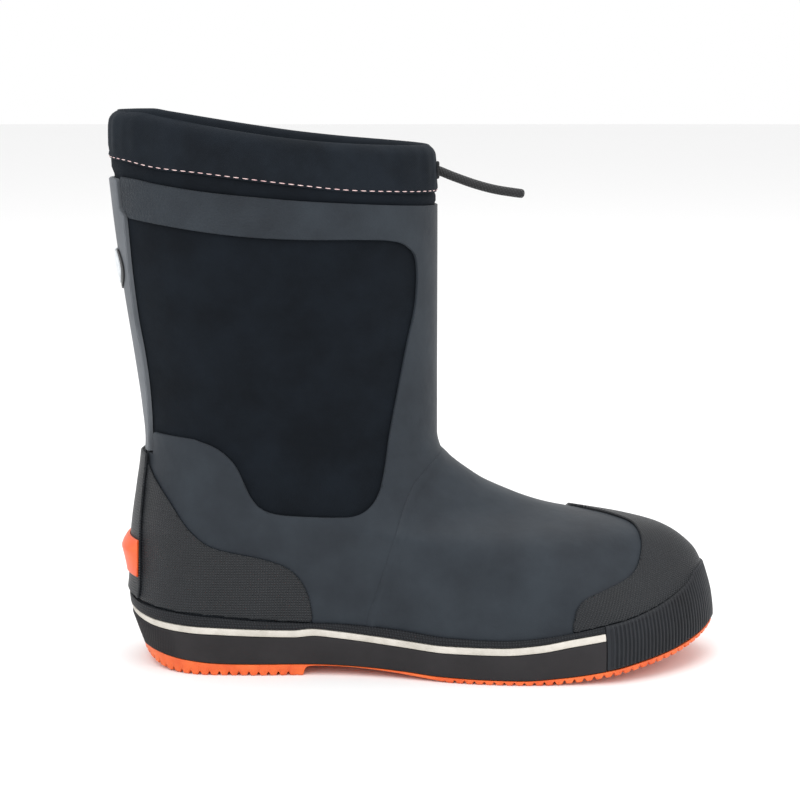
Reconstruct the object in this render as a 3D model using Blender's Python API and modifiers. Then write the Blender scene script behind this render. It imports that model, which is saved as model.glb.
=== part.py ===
"""Ankle-high neoprene and rubber deck boot, right foot.

The toe points along +X and the outer side of the foot is -Y. Every layer of the boot follows one
body surface, the outside of the main rubber: a point on it has a turn, 0 at the back of the heel
and pi at the front, and a height. Layers are sheets at an offset from that surface.
"""

import math

import bmesh
import bpy
from mathutils import Vector

MM = 0.001

# Overall sizes of the rubber body.
BODY_LENGTH = 0.3005
BALL_WIDTH = 0.103
BOOT_HEIGHT = 0.2827

# Wall thicknesses and clearances.
RUBBER = 0.0015
NEOPRENE = 0.0040
OVERLAY = 0.0012
FOXING = 0.0017
STIFFENER = 0.0011
HEM = 0.0015
BOARD = 0.0020
BOARD_INSET = 0.0014
SOCK_FLOOR_INSET = 0.0006
FOOTBED = 0.0050
GAP = 0.0003
SOCK_GAP = 0.0005
FOOTBED_PLAY = 0.0008
FOOTBED_TAPER = 0.0025

# Sole.
STRIPE_HEIGHT = 0.0035
WELT = 0.0023
BUMPER = 0.0026
SOLE_CHAMFER = 0.0006
HEEL_POCKET_LENGTH = 0.060
HEEL_POCKET_WIDTH = 0.048
HEEL_POCKET_DEPTH = 0.0050
HEEL_POCKET_BACK = -0.132

# Strips and badge at the back.
BACKSTAY_OUT = 0.0010
SPUR_REACH = 0.0029
BADGE_RADIUS = 0.0120
BADGE_RIM_WIDTH = 0.0026
BADGE_HEIGHT = 0.0009
BADGE_DOME = 0.0006

# Collar and its cord.
TUNNEL_HEIGHT = 0.0100
LOOP_RADIUS = 0.0019
LOOP_DEPTH = 0.0053
CORD_RADIUS = 0.0023
EYELET_THREAD = 0.0008
EXIT_BELOW_RIM = 0.0131
EXIT_CLEARANCE = 0.0005
# The cord's route out of its buttonhole, forward and up.
CORD_ROUTE = (
    (0.0, 0.0),
    (0.0084, -0.0033),
    (0.0192, -0.0071),
    (0.0300, -0.0099),
    (0.0425, -0.0118),
)

# The boot is drawn in millimetres at these sizes, and scaled to the sizes above.
DRAWN_LENGTH, DRAWN_WIDTH, DRAWN_HEIGHT = 300.5, 103.0, 282.7
SCALE_X = BODY_LENGTH / (DRAWN_LENGTH * MM)
SCALE_Y = BALL_WIDTH / (DRAWN_WIDTH * MM)
SCALE_Z = BOOT_HEIGHT / (DRAWN_HEIGHT * MM)

COLUMNS = 40
ROW_STEP = 0.014
SHAFT_STEP = 0.024


def smooth(t):
    t = min(max(t, 0.0), 1.0)
    return t * t * (3.0 - 2.0 * t)


def curve(points, along=1.0, value=1.0):
    """Smooth curve through drawn (along, value) points, in metres and held level past both ends."""
    xs = [p[0] * MM * along for p in points]
    ys = [p[1] * MM * value for p in points]
    steps = [b - a for a, b in zip(xs, xs[1:])]
    rises = [(b - a) / h for a, b, h in zip(ys, ys[1:], steps)]
    slopes = [rises[0]]
    for h0, h1, r0, r1 in zip(steps, steps[1:], rises, rises[1:]):
        same_way = r0 * r1 > 0
        slopes.append(3 * (h0 + h1) / ((2 * h1 + h0) / r0 + (h1 + 2 * h0) / r1) if same_way else 0.0)
    slopes.append(rises[-1])

    def read(x):
        if x <= xs[0]:
            return ys[0]
        if x >= xs[-1]:
            return ys[-1]
        i = max(k for k in range(len(steps)) if xs[k] <= x)
        h = steps[i]
        t = (x - xs[i]) / h
        near = (1 + 2 * t) * (1 - t) ** 2 * ys[i] + t * t * (3 - 2 * t) * ys[i + 1]
        return near + h * t * (1 - t) * ((1 - t) * slopes[i] - t * slopes[i + 1])

    return read


# Side profiles of the rubber body: (height, x).
back_line = curve(
    [(10, -142), (18.5, -145), (27, -147.9), (31, -149.2), (36, -149.6),
     (42, -148.9), (66, -147.4), (93, -143.5), (106, -141.5), (116, -140.6), (135, -142.1),
     (156, -144.7), (197, -150.3), (237, -154.8), (258, -156.4), (272, -156.6),
     (282.7, -155.8)], SCALE_Z, SCALE_X)
front_line = curve(
    [(10, 149.9), (22, 150.7), (31, 149.9), (42, 147.2), (52.5, 143), (58.6, 137.4), (66, 125.6),
     (69.8, 112), (72.2, 98), (74.4, 84), (76.8, 71.9), (80.6, 58.8), (86, 45.5), (92.5, 32.2),
     (97.3, 25.2), (102.3, 18.6), (106, 14.5), (111.4, 9.9), (119.3, 8.2), (235, 8), (260, 7.4),
     (282.7, 6)], SCALE_Z, SCALE_X)

# Half widths of the footprint: (share of the length in thousandths, half width).
outer_footprint = curve(
    [(0, 35.0), (130, 35.2), (200, 35.8), (270, 35.2), (330, 35.6), (400, 38.0), (470, 42.5), (530, 47.3),
     (600, 51.4), (670, 53.4), (740, 53.6), (800, 52.4), (867, 47.5), (917, 43.5), (1000, 37.0)],
    1.0, SCALE_Y)
inner_footprint = curve(
    [(0, 35.0), (130, 35.2), (200, 34.6), (270, 32.4), (330, 30.4), (400, 30.0), (470, 32.4), (530, 37.0),
     (600, 42.6), (670, 47.0), (740, 49.4), (800, 49.4), (867, 47.0), (917, 43.5), (1000, 37.0)],
    1.0, SCALE_Y)
# Half width of the ankle and shaft: (height, half width).
shaft_half_width = curve([(14, 37.0), (80, 37.0), (110, 37.5), (150, 40.0), (235, 42.0)], SCALE_Z, SCALE_Y)
# How much of a section its rounded heel takes, and where its rounded front starts, in thousandths.
heel_share = curve([(14, 130), (60, 150), (85, 210), (110, 340), (140, 500)], SCALE_Z)
toe_start = curve([(14, 815), (30, 800), (60, 620), (85, 450), (110, 480), (125, 500)], SCALE_Z)
# Sideways place of the front ridge: (height, y).
ridge = curve([(14, 4.0), (55, 9.0), (75, 9.0), (92, 5.0), (112, 0.0)], SCALE_Z, SCALE_Y)

# Edges along the sole: (x, height).
tread_edge = curve(
    [(-150, 9), (-143, 6.2), (-136, 2.6), (-128, 0.6), (-118, 0), (60, 0), (75, 1.2), (90, 3),
     (110, 6.2), (130, 10), (141, 13.6), (151, 18.5)], SCALE_X, SCALE_Z)
foxing_foot = curve(
    [(-150, 9.7), (-143, 9.7), (-136, 9.1), (-128, 8.2), (-118, 7.3), (-96, 6.1), (-56, 6.1),
     (-40, 5.7), (-11, 4.4), (10, 3), (50, 2.6), (70, 4), (90, 6.4), (110, 9.6), (130, 13.3),
     (141, 16.4), (151, 20.5)], SCALE_X, SCALE_Z)
board_foot = curve(
    [(-150, 12), (-70, 12), (-50, 10.4), (-30, 8.3), (0, 5.6), (20, 4.6), (60, 4.6), (75, 5.8),
     (90, 7.6), (110, 10.8), (130, 14), (151, 17.6)], SCALE_X, SCALE_Z)
stripe_foot = curve(
    [(-150, 28.4), (-145, 26.9), (-131, 23.4), (-114, 22), (-88, 20.8), (-62, 20), (-52, 20.9),
     (-42, 20), (-11, 17), (14, 15.2), (39, 15.2), (59, 16.6), (76, 19.4),
     (94, 21.8)], SCALE_X, SCALE_Z)
foxing_top = curve(
    [(-150, 37), (-145, 35.4), (-131, 33.2), (-114, 31.8), (-88, 29.4), (-62, 27.6), (-38, 27.1),
     (-11, 25.6), (14, 23), (39, 22.4), (59, 23.5), (78, 26.2), (93, 28.8)], SCALE_X, SCALE_Z)
bumper_top = curve(
    [(92, 28.8), (104, 30.5), (118, 33.8), (126, 36.4), (134, 39.9), (138.5, 42.6), (141.5, 45.8),
     (151, 49)], SCALE_X, SCALE_Z)
# Edges along the top: (x, height).
rim_line = curve(
    [(-156, 282.7), (-140, 282.4), (-131, 280.8), (-107, 276.5), (-83, 272.7), (-59, 269.6),
     (-35, 267.5), (-11, 266.2), (7, 265.5)], SCALE_X, SCALE_Z)
hem_foot = curve(
    [(-156, 258.6), (-148, 257.8), (-131, 254.7), (-107, 252.4), (-83, 249.6), (-59, 246.7),
     (-35, 244), (-11, 242.6), (7, 241.6)], SCALE_X, SCALE_Z)
band_top = curve(
    [(-156, 250.5), (-142, 249.4), (-131, 247.5), (-107, 244.3), (-83, 242.1), (-59, 240.1),
     (-35, 238.5), (-11, 236.8), (7, 235.4)], SCALE_X, SCALE_Z)
# How far forward the strip up the heel wraps: (height, length).
heel_strip_wrap = curve([(30, 7.2), (60, 6.4), (90, 4.6), (110, 3.6)], SCALE_Z, SCALE_X)
# Front edge of the strip up the back of the shaft: (height, x).
backstay_edge = curve(
    [(110, -137.8), (127, -137.7), (145, -138.4), (160, -140), (179.5, -143.2), (206.5, -145.8),
     (226, -146.9), (249, -148.8)], SCALE_Z, SCALE_X)

VERTICAL_BELOW = 10 * MM * SCALE_Z
FOXING_MIDDLE = 13 * MM * SCALE_Z
BAND_LEVEL = 214 * MM * SCALE_Z
ANKLE_LEVEL = 119.3 * MM * SCALE_Z
RIM_LEVEL = 260 * MM * SCALE_Z
BUMPER_BACK = 92 * MM * SCALE_X
VAMP_BACK = -40 * MM * SCALE_X
BACKSTAY_FOOT = 110.5 * MM * SCALE_Z
BACKSTAY_TOP = 249 * MM * SCALE_Z
SPUR_TOP, SPUR_TIP, SPUR_FOOT = (h * MM * SCALE_Z for h in (66.0, 59.0, 47.0))
BADGE_CENTRE = 205 * MM * SCALE_Z

# Outlines seen from the side: (x, height). Each is rounded by a spline through its points.
SEAM = [(-27, 4), (-26, 28), (-22, 41), (-17, 56.5), (-13, 69.4), (-8.4, 83.3), (-3.5, 94), (2, 100.5),
        (9, 106.5), (17, 113)]
WINDOW = [(-175, 233.5), (-142.9, 229.6), (-108, 225), (-83.5, 222.6), (-59, 221.4), (-30, 220.8),
          (-15, 219.6), (-7, 216.4), (-2.4, 208.5), (-2.7, 188), (-7, 167.5), (-11.9, 142.8),
          (-15.8, 122.3), (-18, 107), (-21, 94), (-26, 86.7), (-33, 83), (-42, 82.2), (-58.6, 82.3),
          (-71.6, 83.2), (-80, 86), (-85.2, 92), (-88.6, 99.5), (-92, 107), (-96.4, 112.5),
          (-102, 116.6), (-110, 119.6), (-122, 121.2), (-175, 121.6)]
COUNTER = [(-150, 109.8), (-141, 109.8), (-138.6, 106), (-134.6, 99.5), (-125.8, 88.4), (-118.6, 78),
           (-110.8, 70), (-103.4, 66), (-91, 63), (-80, 60.6), (-68.5, 56.5), (-62, 51), (-58, 44),
           (-55.5, 34), (-55, 20)]
# Rear edge of the toe cap seen from above: (y, x).
TOE_CAP_EDGE = [(-70, 75), (-51, 75), (-47.5, 76), (-45, 79), (-38, 93), (-27, 107), (-17, 112),
                (-8, 112), (2, 108), (12, 96), (20, 82), (27, 78), (70, 78)]


def spline(points, steps=2):
    """Points on a Catmull-Rom spline through drawn points."""
    ends = [points[0]] + list(points) + [points[-1]]
    out = []
    for a, b, c, d in zip(ends, ends[1:], ends[2:], ends[3:]):
        for i in range(steps):
            t = i / steps
            weights = (-0.5 * t + t * t - 0.5 * t ** 3, 1 - 2.5 * t * t + 1.5 * t ** 3,
                       0.5 * t + 2 * t * t - 1.5 * t ** 3, 0.5 * t ** 3 - 0.5 * t * t)
            out.append(tuple(sum(w * p[k] for w, p in zip(weights, (a, b, c, d))) for k in (0, 1)))
    return out + [tuple(points[-1])]


def round_end(u):
    """Height of a unit quarter circle, 1 where u is not positive."""
    return math.sqrt(max(1.0 - max(u, 0.0) ** 2, 0.0))


def body(turn, height):
    """Point on the outside of the main rubber."""
    z = max(height, VERTICAL_BELOW)
    share = (1.0 - math.cos(turn)) / 2.0
    rear, front = back_line(z), front_line(z)
    lateral = math.sin(turn) >= 0.0
    foot = (outer_footprint if lateral else inner_footprint)(share)
    upper = smooth((z / SCALE_Z - 12 * MM) / (93 * MM))
    start = toe_start(z)
    ends = round_end(1.0 - share / heel_share(z)) * round_end((share - start) / (1.0 - start))
    half = ((1.0 - upper) * foot + upper * shaft_half_width(z)) * ends
    middle = ridge(z) * smooth((share - 0.45) / 0.55)
    return Vector((rear + (front - rear) * share, middle + (-half if lateral else half), height))


def offset_body(turn, height, offset=0.0):
    """Point at an offset outwards from the main rubber."""
    step, lift = 1e-3, 2e-4
    around = body(turn + step, height) - body(turn - step, height)
    upward = body(turn, height + lift) - body(turn, height - lift)
    return body(turn, height) + around.cross(upward).normalized() * offset


def turn_at(x, height):
    """Turn on the outer side at which a section reaches x."""
    z = max(height, VERTICAL_BELOW)
    share = (x - back_line(z)) / (front_line(z) - back_line(z))
    return math.acos(min(max(1.0 - 2.0 * share, -1.0), 1.0))


def column(index):
    return math.tau * index / COLUMNS


def sole_x(turn, offset=0.0):
    return offset_body(turn, VERTICAL_BELOW, offset).x


def rim_x(turn, offset=0.0):
    return offset_body(turn, RIM_LEVEL, offset).x


def body_levels():
    """Heights of rows that lie one step apart along the front of the foot, then up the shaft."""
    fine = 0.0002
    level, walked, found = VERTICAL_BELOW + 0.017, ROW_STEP, []
    while level < ANKLE_LEVEL:
        if walked >= ROW_STEP:
            found.append(level)
            walked = 0.0
        walked += math.hypot(fine, front_line(level + fine) - front_line(level))
        level += fine
    rows = round((BAND_LEVEL - ANKLE_LEVEL) / SHAFT_STEP)
    return found + [ANKLE_LEVEL + (BAND_LEVEL - ANKLE_LEVEL) * i / rows for i in range(rows + 1)]


LEVELS = body_levels()


# A row is a function that gives its point at a turn.
def level(height, offset=0.0):
    """Row at one height."""
    return lambda turn: offset_body(turn, height, offset)


def edge(line, x_of, offset=0.0, lift=0.0):
    """Row that follows a line of heights along x."""
    return lambda turn: offset_body(turn, line(x_of(turn, offset)) + lift, offset)


def sole_edge(line, offset, lift=0.0):
    """Row that follows a line of heights on the upright wall through the footprint."""
    def point(turn):
        foot = offset_body(turn, VERTICAL_BELOW, offset)
        return Vector((foot.x, foot.y, line(foot.x) + lift))
    return point


def material(name, colour, roughness):
    made = bpy.data.materials.new(name)
    made.use_nodes = True
    shader = made.node_tree.nodes["Principled BSDF"]
    shader.inputs["Base Color"].default_value = (*colour, 1.0)
    shader.inputs["Roughness"].default_value = roughness
    shader.inputs["Metallic"].default_value = 0.0
    return made


def new_object(name, mesh, surface, collection):
    made = bpy.data.objects.new(name, mesh)
    if surface:
        mesh.materials.append(surface)
    collection.objects.link(made)
    return made


def solid_from(name, points, faces, surface, collection):
    """Object from lofted points, with its faces turned outwards."""
    mesh = bpy.data.meshes.new(name)
    mesh.from_pydata([tuple(p) for p in points], [], faces)
    work = bmesh.new()
    work.from_mesh(mesh)
    bmesh.ops.recalc_face_normals(work, faces=work.faces)
    work.to_mesh(mesh)
    work.free()
    return new_object(name, mesh, surface, collection)


def ladder(ring, flip=False):
    """Faces across a closed ring whose first and middle points lie on the long axis."""
    count = len(ring)
    half = count // 2
    faces = [(ring[0], ring[1], ring[-1])]
    for i in range(1, half - 1):
        faces.append((ring[i], ring[i + 1], ring[count - i - 1], ring[count - i]))
    faces.append((ring[half - 1], ring[half], ring[half + 1]))
    return [tuple(reversed(f)) for f in faces] if flip else faces


def slab(name, rows, surface, collection):
    """Solid between a bottom and a top that follow the footprint; rows run up its side."""
    points, faces = [], []
    turns = [column(i) for i in range(COLUMNS)]
    for row in rows:
        points += [row(turn) for turn in turns]
    for r in range(len(rows) - 1):
        for i in range(COLUMNS):
            a, b = r * COLUMNS + i, r * COLUMNS + (i + 1) % COLUMNS
            faces.append((a, b, b + COLUMNS, a + COLUMNS))
    last = (len(rows) - 1) * COLUMNS
    faces += ladder(range(COLUMNS), flip=True) + ladder(range(last, last + COLUMNS))
    return solid_from(name, points, faces, surface, collection)


def sheet(name, turns, rows, thickness, surface, collection, closed=False, floor=False):
    """Open surface through rows and columns of the body, made solid inwards.

    Its quads are all split the same way, so that the facets of one layer lie along those of the next.
    """
    wide = len(turns)
    points = [row(turn) for row in rows for turn in turns]
    faces = []
    for r in range(len(rows) - 1):
        for i in range(wide if closed else wide - 1):
            a, b = r * wide + i, r * wide + (i + 1) % wide
            faces += [(a, b, b + wide), (a, b + wide, a + wide)]
    if floor:
        faces += ladder(range(wide), flip=True)
    mesh = bpy.data.meshes.new(name)
    mesh.from_pydata([tuple(p) for p in points], [], faces)
    mesh.shade_smooth()
    mesh.set_sharp_from_angle(angle=math.radians(40))
    made = new_object(name, mesh, surface, collection)
    solidify = made.modifiers.new("Thickness", "SOLIDIFY")
    solidify.thickness = thickness
    solidify.offset = -1.0
    solidify.use_even_offset = True
    if floor:
        solidify.solidify_mode = "NON_MANIFOLD"
        solidify.nonmanifold_thickness_mode = "CONSTRAINTS"
    return made


def prism(name, outline, plane, collection, reach=0.2):
    """Cutter from an outline in the XZ or XY plane, through the whole boot."""
    def place(p, side):
        return (p[0], side * reach, p[1]) if plane == "XZ" else (p[0], p[1], side * reach)

    count = len(outline)
    points = [place(p, side) for side in (-1, 1) for p in outline]
    faces = [tuple(range(count)), tuple(range(2 * count - 1, count - 1, -1))]
    faces += [(i, (i + 1) % count, count + (i + 1) % count, count + i) for i in range(count)]
    made = solid_from(name, points, faces, None, collection)
    made.hide_render = True
    made.display_type = "WIRE"
    return made


def boolean(target, cutter, operation):
    cut = target.modifiers.new(operation.title(), "BOOLEAN")
    cut.object = cutter
    cut.operation = operation
    cut.solver = "EXACT"


def drawn(points):
    """Drawn (x, height) points at the boot's own size."""
    return [(x * MM * SCALE_X, z * MM * SCALE_Z) for x, z in points]


def front_region(shift):
    """Side outline of all that lies in front of the vamp's seam."""
    line = [(x + shift, z) for x, z in drawn(spline(SEAM))]
    return line + drawn([(190, 113), (190, -10), (-27, -10)])


def backstay_region():
    """Side outline of all that lies behind the backstay's front edge."""
    heights = [BACKSTAY_FOOT - GAP + (BACKSTAY_TOP + 0.02 - BACKSTAY_FOOT) * i / 10 for i in range(11)]
    line = [(backstay_edge(z) + RUBBER, z) for z in heights]
    return line + [(-0.3 * SCALE_X, heights[-1]), (-0.3 * SCALE_X, heights[0])]


def make_outsole(surface, parts, cutters):
    inside = -(RUBBER + GAP)
    rows = [
        sole_edge(tread_edge, WELT - 2.5 * SOLE_CHAMFER),
        sole_edge(tread_edge, WELT, SOLE_CHAMFER),
        sole_edge(foxing_foot, WELT, -GAP),
        sole_edge(foxing_foot, inside, -GAP),
        sole_edge(board_foot, inside, -GAP),
    ]
    outsole = slab("outsole", rows, surface, parts)
    arch = drawn(spline([(-60.5, -3), (-59, 3.2), (-56, 5.0), (-46, 5.2), (-30, 4.6), (-11, 2.8),
                         (8, 0.7), (24, -1.2), (30, -3)]))
    boolean(outsole, prism("arch_cutter", arch, "XZ", cutters), "DIFFERENCE")
    pocket = heel_block("heel_pocket", 0.0, 0.05, None, cutters)
    pocket.hide_render = True
    pocket.display_type = "WIRE"
    boolean(outsole, pocket, "DIFFERENCE")
    return outsole


def heel_block(name, shrink, height, surface, collection):
    """Round-backed block that stands in the heel pocket's floor, smaller by shrink on each side."""
    work = bmesh.new()
    bmesh.ops.create_cube(work, size=1.0)
    length, width = HEEL_POCKET_LENGTH - 2 * shrink, HEEL_POCKET_WIDTH - 2 * shrink
    bottom = board_foot(HEEL_POCKET_BACK) - GAP - HEEL_POCKET_DEPTH + shrink
    for v in work.verts:
        v.co = Vector((v.co.x * length, v.co.y * width, (v.co.z + 0.5) * height))
    corners = [e for e in work.edges if all(v.co.x < 0 for v in e.verts)
               and abs(e.verts[0].co.z - e.verts[1].co.z) > height / 2]
    bmesh.ops.bevel(work, geom=corners, offset=width * 0.42, segments=6, profile=0.5, affect="EDGES")
    mesh = bpy.data.meshes.new(name)
    work.to_mesh(mesh)
    work.free()
    made = new_object(name, mesh, surface, collection)
    made.location = (HEEL_POCKET_BACK + HEEL_POCKET_LENGTH / 2, 0.0, bottom)
    return made


def make_board(surface, parts):
    inside = -(RUBBER + GAP + BOARD_INSET)
    return slab("insole_board", [sole_edge(board_foot, inside), sole_edge(board_foot, inside, BOARD)],
                surface, parts)


def bootie_offset(turn, height):
    """Outside of the neoprene sock, sunk where the stiffeners lie."""
    share = (1.0 - math.cos(turn)) / 2.0
    z = height / SCALE_Z / MM
    toe = smooth((share - 0.86) / 0.05) * (1.0 - smooth((z - 56) / 8))
    heel = smooth((0.16 - share) / 0.05) * (1.0 - smooth((z - 88) / 12))
    return -(RUBBER + SOCK_GAP) - (STIFFENER + GAP) * max(toe, heel)


def bootie_floor(x):
    return board_foot(x) + BOARD + GAP


def toe_shoulder(turn):
    """Height above the sock's floor at which the foot's walls start to lean in."""
    return max(VERTICAL_BELOW, bootie_floor(sole_x(turn)) + NEOPRENE + 0.001)


def make_bootie(surface, parts):
    def wall(height_of):
        return lambda turn: offset_body(turn, height_of(turn), bootie_offset(turn, height_of(turn)))

    def floor(turn):
        return sole_edge(bootie_floor, bootie_offset(turn, VERTICAL_BELOW) - SOCK_FLOOR_INSET)(turn)

    rows = [floor, wall(toe_shoulder)]
    rows += [wall(lambda turn, z=z: z) for z in LEVELS]
    rows.append(wall(lambda turn: band_top(rim_x(turn))))
    rows.append(wall(lambda turn: rim_line(rim_x(turn)) - TUNNEL_HEIGHT))
    turns = [column(i) for i in range(COLUMNS)]
    return sheet("bootie", turns, rows, NEOPRENE, surface, parts, closed=True, floor=True)


def make_footbed(surface, parts):
    """Removable footbed, built around its toe end, where it hinges."""
    inside = -(RUBBER + SOCK_GAP + STIFFENER + GAP + SOCK_FLOOR_INSET + NEOPRENE + FOOTBED_PLAY)
    base = NEOPRENE + GAP
    rows = [sole_edge(bootie_floor, inside, base),
            sole_edge(bootie_floor, inside - FOOTBED_TAPER, base + FOOTBED),
            sole_edge(bootie_floor, inside - FOOTBED_TAPER - 0.008, base + FOOTBED * 0.8)]
    footbed = slab("footbed", rows, surface, parts)
    pivot = rows[0](math.pi)
    move_origin(footbed, Vector((pivot.x, 0.0, pivot.z)))
    return footbed


def move_origin(target, point):
    for vertex in target.data.vertices:
        vertex.co -= point
    target.location = point


def make_upper(rubber, parts, cutters):
    """Vamp over the foot, and the frame round the ankle, the two windows and the top."""
    around = [column(i) for i in range(COLUMNS)]
    feet = [edge(foxing_foot, sole_x, 0.0, GAP), lambda turn: offset_body(turn, toe_shoulder(turn))]
    skin = [level(z) for z in LEVELS]
    low = [level(z) for z in LEVELS if z <= ANKLE_LEVEL * 1.01]
    start = turn_at(VAMP_BACK, 0.0)
    front = [turn for turn in around if start < turn < math.tau - start]
    vamp = sheet("vamp", front, feet + low, RUBBER, rubber, parts)
    boolean(vamp, prism("vamp_region", front_region(0.0), "XZ", cutters), "INTERSECT")
    top = edge(band_top, rim_x)
    frame = sheet("shaft_frame", around, feet + skin + [top], RUBBER, rubber, parts, closed=True)
    boolean(frame, prism("vamp_cutter", front_region(-1.4 * GAP), "XZ", cutters), "DIFFERENCE")
    boolean(frame, prism("window_cutter", drawn(spline(WINDOW)), "XZ", cutters), "DIFFERENCE")
    boolean(frame, prism("backstay_cutter", backstay_region(), "XZ", cutters), "DIFFERENCE")


def strip_turns(edge_x, height, count):
    """Turns across a strip on the heel, from its inner side to its outer side."""
    reach = turn_at(edge_x, height)
    return [reach * (2.0 * i / count - 1.0) for i in range(count + 1)]


def back_strip(name, edge_of, heights, offset, thickness, surface, parts):
    """Strip up the middle of the back; heights(turn) lists its rows, edge_of(height) its front edge."""
    count = 10
    points, faces = [], []
    rows = len(heights(0.0))
    foot_turns = strip_turns(edge_of(heights(0.0)[0]), heights(0.0)[0], count)
    for r in range(rows):
        for i, foot_turn in enumerate(foot_turns):
            height = heights(foot_turn)[r]
            points.append(offset_body(strip_turns(edge_of(height), height, count)[i], height, offset))
    wide = count + 1
    for r in range(rows - 1):
        for i in range(count):
            a = r * wide + i
            faces.append((a, a + 1, a + 1 + wide, a + wide))
    mesh = bpy.data.meshes.new(name)
    mesh.from_pydata([tuple(p) for p in points], [], faces)
    mesh.shade_smooth()
    made = new_object(name, mesh, surface, parts)
    solidify = made.modifiers.new("Thickness", "SOLIDIFY")
    solidify.thickness = thickness
    solidify.offset = -1.0
    solidify.use_even_offset = True
    return made


def make_backstay(surface, parts):
    between = [z for z in LEVELS if BACKSTAY_FOOT + 0.002 < z < BACKSTAY_TOP - 0.002]
    heights = [BACKSTAY_FOOT] + between + [BACKSTAY_TOP]
    return back_strip("backstay", backstay_edge, lambda turn: heights, BACKSTAY_OUT, BACKSTAY_OUT + RUBBER,
                      surface, parts)


def heel_strip_edge(height):
    return back_line(max(height, VERTICAL_BELOW)) + heel_strip_wrap(height)


COUNTER_OUT = GAP + OVERLAY
STRIP_OUT = COUNTER_OUT + GAP + OVERLAY


def make_heel_strip(surface, parts):
    top, rows = BACKSTAY_FOOT - 2 * GAP, 8

    def heights(turn):
        foot = foxing_top(sole_x(turn)) + 3 * GAP
        return [foot + (top - foot) * k / rows for k in range(rows + 1)]

    return back_strip("heel_strip", heel_strip_edge, heights, STRIP_OUT, OVERLAY, surface, parts)


def make_counter(surface, parts, cutters):
    count = COLUMNS * 5 // 24
    turns = [column(i) for i in range(-count, count + 1)]
    foot = edge(foxing_top, sole_x, COUNTER_OUT, 2 * GAP)
    rows = [level(z, COUNTER_OUT) for z in LEVELS if 40 * MM * SCALE_Z < z <= ANKLE_LEVEL]
    counter = sheet("heel_counter", turns, [foot] + rows, OVERLAY, surface, parts)
    outline = drawn(spline(COUNTER)) + drawn([(-55, -10), (-200, -10), (-200, 109.8)])
    boolean(counter, prism("counter_region", outline, "XZ", cutters), "INTERSECT")


def make_spur(surface, parts):
    """Ledge on the heel for pushing the boot off: a triangular section that fades at both sides."""
    inner = STRIP_OUT + GAP
    edge_out = inner + 0.0009
    count = 8
    points, faces = [], []
    for i in range(count + 1):
        q = 2.0 * i / count - 1.0
        tip = edge_out + SPUR_REACH * (1.0 - q ** 4)
        for height, offset in ((SPUR_FOOT, inner), (SPUR_FOOT, edge_out), (SPUR_TIP, tip),
                               (SPUR_TIP + 0.0022, tip), (SPUR_TOP, edge_out), (SPUR_TOP, inner)):
            reach = turn_at(heel_strip_edge(height), height) * 0.96
            points.append(offset_body(q * reach, height, offset))
    ring = 6
    for i in range(count):
        for k in range(ring):
            a, b = i * ring + k, i * ring + (k + 1) % ring
            faces.append((a, b, b + ring, a + ring))
    faces += [tuple(range(ring)), tuple(range(count * ring, (count + 1) * ring))]
    return solid_from("kick_spur", points, faces, surface, parts)


def make_toe_cap(surface, parts, cutters):
    first = COLUMNS // 3 - 1
    turns = [column(i) for i in range(first, COLUMNS - first + 1)]
    rows = [level(z, COUNTER_OUT) for z in LEVELS if z < 86 * MM * SCALE_Z]
    cap = sheet("toe_cap", turns, rows, OVERLAY, surface, parts)
    edge_line = [(x * MM * SCALE_X, y * MM * SCALE_Y) for y, x in spline(TOE_CAP_EDGE)]
    outline = edge_line + [(0.3 * SCALE_X, edge_line[-1][1]), (0.3 * SCALE_X, edge_line[0][1])]
    boolean(cap, prism("toe_region", outline, "XY", cutters), "INTERSECT")
    boolean(cap, prism("below_toe_cap", toe_line(GAP, -0.02), "XZ", cutters), "DIFFERENCE")


def toe_line(lift, past):
    """Side outline from the top of the foxing and bumper, raised by lift, to a height past the boot."""
    first, last, count = 0.07 * SCALE_X, 0.17 * SCALE_X, 20
    across = [first + (last - first) * i / count for i in range(count + 1)]
    line = [(x, (foxing_top if x < BUMPER_BACK else bumper_top)(x) + lift) for x in across]
    return line + [(last, past), (first, past)]


def make_stiffeners(surface, parts):
    scaled = MM * SCALE_Z
    toe = [column(i) for i in range(COLUMNS * 5 // 12, COLUMNS * 7 // 12 + 1)]
    heights = [21 * scaled] + [z for z in LEVELS if 24 * scaled < z < 55 * scaled]
    sheet("toe_puff", toe, [level(z, -(RUBBER + GAP)) for z in heights], STIFFENER, surface, parts)
    heel = [column(i) for i in range(-(COLUMNS * 5 // 48), COLUMNS * 5 // 48 + 1)]
    heights = [18 * scaled] + [z for z in LEVELS if 22 * scaled < z < 84 * scaled]
    sheet("heel_stiffener", heel, [level(z, -(RUBBER + GAP)) for z in heights], STIFFENER, surface, parts)


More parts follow.
